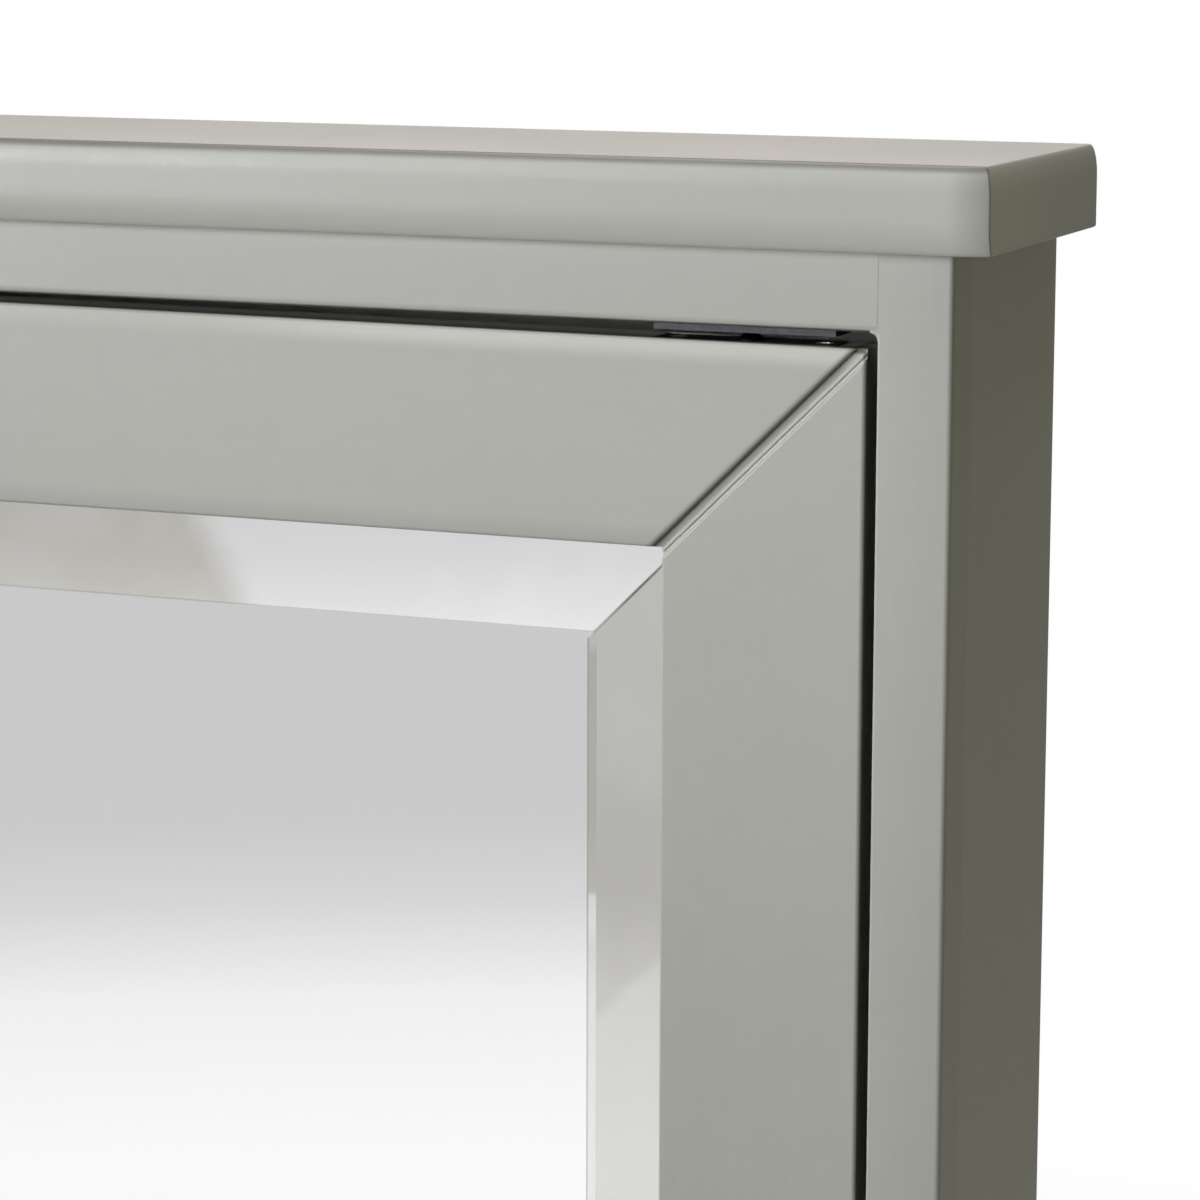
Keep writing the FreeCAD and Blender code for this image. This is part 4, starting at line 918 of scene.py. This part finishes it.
def mitre_lines(offset):
    """The line of each mitre in the door's front, set over towards the stile."""
    depth = 1.9 * MM
    shares = (-0.006, 0.985)
    corners = (
        ((HINGE_STILE_HIGH.x, DOOR_TOP_LOW.z), (HINGE_STILE_LOW.x, HINGE_STILE_HIGH.z)),
        ((KNOB_STILE_LOW.x, DOOR_TOP_LOW.z), (KNOB_STILE_HIGH.x, KNOB_STILE_HIGH.z)),
        ((KNOB_STILE_LOW.x, DOOR_BOTTOM_HIGH.z), (KNOB_STILE_HIGH.x, KNOB_STILE_LOW.z)),
        ((HINGE_STILE_HIGH.x, DOOR_BOTTOM_HIGH.z), (HINGE_STILE_LOW.x, HINGE_STILE_LOW.z)),
    )
    lines = []
    for (inner_x, inner_z), (outer_x, outer_z) in corners:
        start_x = inner_x + math.copysign(offset, inner_x)
        start_z = inner_z - math.copysign(offset, inner_z)
        lines.append([(start_x + (outer_x - inner_x) * share, FRONT_Y + depth,
                       start_z + (outer_z - inner_z) * share) for share in shares])
    return lines


class CABINET_OT_mirror(bpy.types.Operator):
    """Finishes the bevelled mirror, its backing, its blocks and its clips"""

    bl_idname = "cabinet.mirror"
    bl_label = "Mirror"

    def execute(self, context):
        mirror = context.scene.cabinet_mirror
        dress(clear_glass(mirror), "mirror_glass")
        dress(silvering(mirror), "mirror_silvering")
        dress(fibreboard("hardboard_backing", (0.26, 0.155, 0.085)), "mirror_backing")
        dress(rubber("rubber_block", grey(0.05)), "mirror_setting_blocks")
        dress(metal("zinc_clip", (0.62, 0.63, 0.64), 0.34, "X"), "mirror_clips")
        return {"FINISHED"}


def clear_glass(mirror):
    """Clear float glass with faint polish marks."""
    made = Finish("glass_mirror")
    smear = made.noise(35.0, 3.0)
    made.paint(made.mix(smear, shade(mirror.glass_tint, 0.997), mirror.glass_tint))
    made.set("Roughness", made.spread(smear, 0.55, 0.9, 0.0, 0.006))
    made.set("IOR", 1.52)
    made.set("Transmission Weight", 1.0)
    return made


def silvering(mirror):
    """Bright silvering; behind the bevels, painted reflections make it duller and clouded, with a dark line
    painted in its mitres.
    """
    made = Finish("silver_mirror")
    cloud = made.noise(16.0, 3.0, roughness=0.55, distortion=0.5)
    x, z = made.axis("X"), made.axis("Z")
    middle, half = (GLASS_LOW + GLASS_HIGH) / 2, (GLASS_HIGH - GLASS_LOW) / 2
    out_x = abs(x - middle.x) - (half.x - mirror.bevel)
    out_z = abs(z - middle.z) - (half.z - mirror.bevel)
    beyond = made.maths("MAXIMUM", out_x, out_z)
    bevelled = made.spread(beyond, 0.0, 0.0006)
    upright = made.spread(out_x - out_z, -0.0003, 0.0003)
    # Level bevels: a painted reflection, dull up to a slanting border
    dull_reflection = made.fade(x + z * 0.545 + cloud * 0.012, 0.130, 0.151) * made.spread(cloud, 0.30, 0.65, 0.80, 1.0)
    bright = made.mix(made.spread(cloud, 0.40, 0.62), (0.97, 0.97, 0.98), grey(1.0))
    level = made.mix(dull_reflection, bright, (0.675, 0.655, 0.605))
    level = made.mix(1.0, level, made.spread(out_z, 0.0, mirror.bevel, 0.965, 1.0), "MULTIPLY")
    # Upright bevels: a painted reflection, hazy above a rising border
    hazy_reflection = made.mix(made.spread(z, 0.10, 0.18), (0.655, 0.645, 0.61), (0.84, 0.83, 0.79))
    hazy_reflection = made.mix(made.spread(cloud, 0.35, 0.65), hazy_reflection, grey(0.95), "MULTIPLY")
    rising = made.spread(z - x * 0.94 + cloud * 0.014, -0.068, -0.060)
    side = made.mix(rising, (0.705, 0.70, 0.67), hazy_reflection)
    made.paint(made.mix(bevelled, mirror.silver_tint, made.mix(upright, level, side)))
    # Upright arris: a painted reflection in a strip whose tone changes with the height, and a fine painted
    # line
    strip = made.spread(beyond, -0.0016, -0.0013) * made.fade(beyond, 0.0012, 0.0015)
    stripe = made.mix(made.spread(z, 0.095, 0.107), (0.82, 0.815, 0.79), (0.95, 0.95, 0.93))
    stripe = made.mix(made.spread(z, 0.1140, 0.1170), stripe, (0.67, 0.65, 0.60))
    stripe = made.mix(made.spread(z, 0.196, 0.202), stripe, (0.78, 0.77, 0.74))
    made.paint(made.mix(strip * upright, made.tone, stripe))
    line = made.fade(abs(beyond + 0.0016), 0.0001, 0.0004)
    made.paint(made.mix(line * upright, made.tone, (0.56, 0.55, 0.52)))
    # Mitres of the bevels: a painted dark line
    half_bevel = mirror.bevel / 2
    seam = made.fade(abs(out_x - out_z), 0.0003, 0.0008)
    seam *= made.spread(abs(out_z - half_bevel), 0.0, half_bevel, 0.85, 0.30)
    made.paint(made.mix(seam * bevelled, made.tone, (0.10, 0.085, 0.08)))
    made.set("Metallic", 1.0)
    made.set("Roughness", 0.0)
    return made


class CABINET_OT_screws(bpy.types.Operator):
    """Grows the screws and nails with their recesses on the solids' places"""

    bl_idname = "cabinet.screws"
    bl_label = "Screws and nails"

    def execute(self, context):
        hardware = context.scene.cabinet_hardware
        zinc = metal("zinc_screw", (0.60, 0.61, 0.62), 0.30)
        flat = screw_tree("countersunk screw", False)
        domed = screw_tree("domed screw", True)
        pin = nail_tree("panel pin")
        jobs = (
            ("cornice_screws", "case", "zinc_steel", (0, 0, -1), flat, FLAT_HEAD),
            ("strike_screws", "case", "zinc_steel", (0, 0, -1), flat, FLAT_HEAD),
            ("frame_hinge_screws", "case", "hinge_steel", (1, 0, 0), flat, FLAT_HEAD),
            ("door_hinge_screws", "door", "hinge_steel", (-1, 0, 0), flat, FLAT_HEAD),
            ("catch_screws", "door", "zinc_steel", (0, 0, 1), flat, FLAT_HEAD),
            ("mirror_clip_screws", "door", "zinc_steel", (0, 1, 0), domed, CLIP_HEAD),
            ("knob_screw", "door", "zinc_steel", (0, 1, 0), domed, KNOB_SCREW_HEAD),
            ("back_panel_nails", "case", "zinc_steel", (0, 1, 0), pin, PIN_HEAD),
        )
        for node, body, slot, facing, tree, (radius, height, shank, recess) in jobs:
            outward = Vector(facing)
            solids = solids_of(node)
            heads = [(low + high + (high - low) * outward) / 2 for low, high in solids]
            low, high = solids[0]
            values = {
                "Head radius": radius * MM, "Head height": height * MM, "Shank radius": shank * MM,
                "Length": abs((high - low).dot(outward)) - height * MM,
                "Recess width": hardware.recess_width, "Recess depth": hardware.recess_depth * recess,
                "Seed": hardware.seed, "Material": zinc.material}
            name = "back_panel_pins" if tree is pin else node + "_cut"
            piece = grown(name, points_mesh(node + "_points", heads, facing), tree, values)
            stand_for(piece, body, slot, node)
        return {"FINISHED"}


class CABINET_OT_hardware(bpy.types.Operator):
    """Finishes the hinges, the catch, the shelf pins and the knob, and winds the catch spring"""

    bl_idname = "cabinet.hardware"
    bl_label = "Hinges, catch and knob"

    def execute(self, context):
        hinge = metal("hinge_steel", (0.56, 0.565, 0.56), 0.32)
        for level in ("upper", "lower"):
            dress(hinge, "hinge_frame_leaf_" + level, "hinge_door_leaf_" + level, "hinge_pin_" + level)
        plate = metal("dull_plate", (0.046, 0.047, 0.052), 0.46, "X", scratch=0.00002, wear=0.6)
        dress(plate, "catch_plate", "strike_plate")
        dress(metal("zinc_barrel", (0.55, 0.57, 0.60), 0.36), "catch_barrel")
        dress(metal("ball_steel", (0.13, 0.13, 0.135), 0.24, "X", scratch=0.000004), "catch_ball")
        dress(metal("nickel_pin", (0.66, 0.64, 0.61), 0.26, "X"), "shelf_pins")
        knob = metal("nickel_knob", (0.62, 0.605, 0.58), 0.21, scratch=0.0000003, wear=0.02, patchy=0.15)
        dress(knob, "knob")
        hardware = context.scene.cabinet_hardware
        wire = hardware.wire_radius
        low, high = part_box("catch_spring")
        foot = ((low.x + high.x) / 2, (low.y + high.y) / 2, low.z + wire)
        values = {
            "Radius": (high.x - low.x) / 2 - wire, "Height": high.z - low.z - 2 * wire,
            "Turns": float(hardware.turns), "Wire": wire, "Seed": hardware.seed,
            "Material": metal("spring_wire", (0.50, 0.50, 0.51), 0.28).material}
        seeds = points_mesh("spring_point", [foot], (0, 0, 1))
        piece = grown("catch_spring_coil", seeds, spring_tree("catch spring"), values)
        stand_for(piece, "door", "spring_steel", "catch_spring")
        return {"FINISHED"}


class CABINET_OT_stage(bpy.types.Operator):
    """Sets the floor, the lamps, the room and the camera"""

    bl_idname = "cabinet.stage"
    bl_label = "Stage"

    def execute(self, context):
        stage = context.scene.cabinet_stage
        context.scene.view_settings.view_transform = "Standard"
        set_floor(cad_low.z)
        set_room(context.scene, stage)
        add_lamp("key_lamp", stage.key_power, place=(-2.30, -3.30, 0.95), aim=(0.45, -0.10, 0.58),
                 size=(1.5, 1.4), colour=(0.985, 0.99, 1.0), cone=34.0)
        add_lamp("fill_lamp", stage.fill_power, place=(-1.2, -2.2, -0.28), aim=(0.05, -0.12, -0.52),
                 size=(0.5, 0.14), colour=(1.0, 0.99, 0.98), cone=18.0, mirrored=False)
        add_lamp("back_lamp", stage.back_power, place=(-1.3, 2.6, 0.05), aim=(-0.1, 0.0, 0.0),
                 size=(1.6, 0.5), mirrored=False)
        add_lamp("top_lamp", stage.top_power, place=(0.11, -0.07, 1.05), aim=(0.11, -0.07, 0.3),
                 size=(0.8, 0.6))
        set_camera(context.scene, stage)
        return {"FINISHED"}


def add_lamp(name, power, place, aim, size, colour=(1.0, 0.99, 0.97), cone=180.0, mirrored=True):
    """A soft lamp that points at a place, within a cone in degrees, with or without its own reflection."""
    data = bpy.data.lights.new(name, "AREA")
    data.shape = "RECTANGLE"
    data.size, data.size_y = size
    data.energy = power
    data.color = colour
    data.spread = math.radians(cone)
    lamp = bpy.data.objects.new(name, data)
    lamp.location = place
    lamp.rotation_euler = (Vector(aim) - Vector(place)).to_track_quat("-Z", "Y").to_euler()
    lamp.visible_glossy = mirrored
    bpy.context.scene.collection.objects.link(lamp)


def set_camera(scene, stage):
    """The photograph's view: turned and tilted first, then rolled about the line of sight."""
    data = bpy.data.cameras.new("camera")
    data.sensor_width = 36.0
    data.lens = stage.lens
    data.shift_y = stage.shift
    data.clip_start = 0.05
    data.clip_end = 200.0
    camera = bpy.data.objects.new("camera", data)
    camera.location = stage.place
    tilt, roll, turn = stage.turn
    facing = Euler((tilt, 0.0, turn)).to_matrix() @ Matrix.Rotation(roll, 3, "Z")
    camera.rotation_euler = facing.to_euler()
    scene.collection.objects.link(camera)
    scene.camera = camera


def set_floor(height):
    """A wide pale floor: shaded round the cabinet, white further off, and clear there in reflections."""
    radius, lowered = 1.3, 0.5 * MM
    white_from, clear_from, far = 0.45, 0.35, 1.15
    made = Finish("floor_sweep")
    made.paint(made.mix(made.noise(3.0), grey(0.66), grey(0.70)))
    made.set("Roughness", 0.9)
    made.set("Specular IOR Level", 0.0)
    x, y = made.axis("X"), made.axis("Y")
    away = made.maths("SQRT", x * x + y * y)
    mirrored = made.mirrored()
    seen = made.maths("MAXIMUM", made.ray("Camera"), mirrored)
    glow = made.value("ShaderNodeEmission")
    lit = made.mix_shaders(made.spread(away, white_from, far, 0.62, 1.0) * seen, made.surface, glow)
    clear = made.value("ShaderNodeBsdfTransparent")
    fading = made.mix_shaders(made.spread(away, clear_from, far) * mirrored, lit, clear)
    made.feed(made.output.inputs["Surface"], fading)
    form = bmesh.new()
    bmesh.ops.create_circle(form, cap_ends=True, segments=96, radius=radius)
    for vertex in form.verts:
        vertex.co.z = height - lowered
    mesh = mesh_from("floor", form, made)
    if mesh.polygons[0].normal.z < 0:
        mesh.flip_normals()
    floor = show("floor", mesh)


def set_room(scene, stage):
    """White where the camera, metal and glass look past the cabinet, dim and warm as light."""
    scene.world = bpy.data.worlds.new("room")
    scene.world.use_nodes = True
    room = Shading(scene.world.node_tree, "Generated")
    warm = room.spread(room.axis("Y"), -0.8, 0.8, stage.room * 0.4, stage.room * 1.8)
    light = room.value("ShaderNodeBackground", {"Color": (1.0, 0.93, 0.62), "Strength": warm})
    # What metal and glass show: white low down, grey higher up, darker behind the cabinet
    feeds = {"Value": room.axis("Z"), "From Min": -0.35, "From Max": -0.21}
    sweep = room.add("ShaderNodeValToRGB", {"Fac": room.value("ShaderNodeMapRange", feeds, "Result")})
    stops = sweep.color_ramp.elements
    stops[0].color = (*grey(1.0), 1.0)
    stops[1].color = (*grey(0.612), 1.0)
    for position, level in ((0.25, 1.0), (0.52, 0.913), (0.69, 0.70), (0.83, 0.618)):
        stops.new(position).color = (*grey(level), 1.0)
    behind = room.spread(room.axis("Y"), -0.3, 0.6, 1.0, 0.25)
    tone = room.mix(1.0, Value(room, sweep.outputs["Color"]), behind, "MULTIPLY")
    shown = room.mix_shaders(room.mirrored(), light, room.value("ShaderNodeBackground", {"Color": tone}))
    white = room.value("ShaderNodeBackground", {"Color": grey(1.0)})
    room.add("ShaderNodeOutputWorld", {"Surface": room.mix_shaders(room.ray("Camera"), shown, white)})


class CABINET_PT_panel(bpy.types.Panel):
    """Lists the cabinet's pieces in the sidebar"""

    bl_idname = "CABINET_PT_panel"
    bl_label = "Mirror Cabinet"
    bl_space_type = "VIEW_3D"
    bl_region_type = "UI"
    bl_category = "Cabinet"

    def draw(self, context):
        for operator in OPERATORS:
            self.layout.operator(operator.bl_idname)
        for name in SETTINGS:
            group = getattr(context.scene, name)
            box = self.layout.box()
            for field in group.bl_rna.properties:
                if field.identifier not in {"name", "rna_type"}:
                    box.prop(group, field.identifier)


SETTINGS = {
    "cabinet_paint": PaintSettings,
    "cabinet_cornice": CorniceSettings,
    "cabinet_mirror": MirrorSettings,
    "cabinet_hardware": HardwareSettings,
    "cabinet_stage": StageSettings,
}
OPERATORS = (
    CABINET_OT_cornice,
    CABINET_OT_face_frame,
    CABINET_OT_inside,
    CABINET_OT_door,
    CABINET_OT_mirror,
    CABINET_OT_screws,
    CABINET_OT_hardware,
    CABINET_OT_stage,
)


def register():
    """Makes the settings, the operators and the panel known to Blender."""
    for name, group in SETTINGS.items():
        bpy.utils.register_class(group)
        setattr(bpy.types.Scene, name, PointerProperty(type=group))
    for operator in OPERATORS:
        bpy.utils.register_class(operator)
    bpy.utils.register_class(CABINET_PT_panel)


def unregister():
    """Takes them out again."""
    bpy.utils.unregister_class(CABINET_PT_panel)
    for operator in reversed(OPERATORS):
        bpy.utils.unregister_class(operator)
    for name, group in SETTINGS.items():
        delattr(bpy.types.Scene, name)
        bpy.utils.unregister_class(group)


def main():
    """Builds the whole cabinet."""
    register()
    bpy.ops.cabinet.cornice()
    bpy.ops.cabinet.face_frame()
    bpy.ops.cabinet.inside()
    bpy.ops.cabinet.door()
    bpy.ops.cabinet.mirror()
    bpy.ops.cabinet.screws()
    bpy.ops.cabinet.hardware()
    bpy.ops.cabinet.stage()


if __name__ == "__main__":
    main()
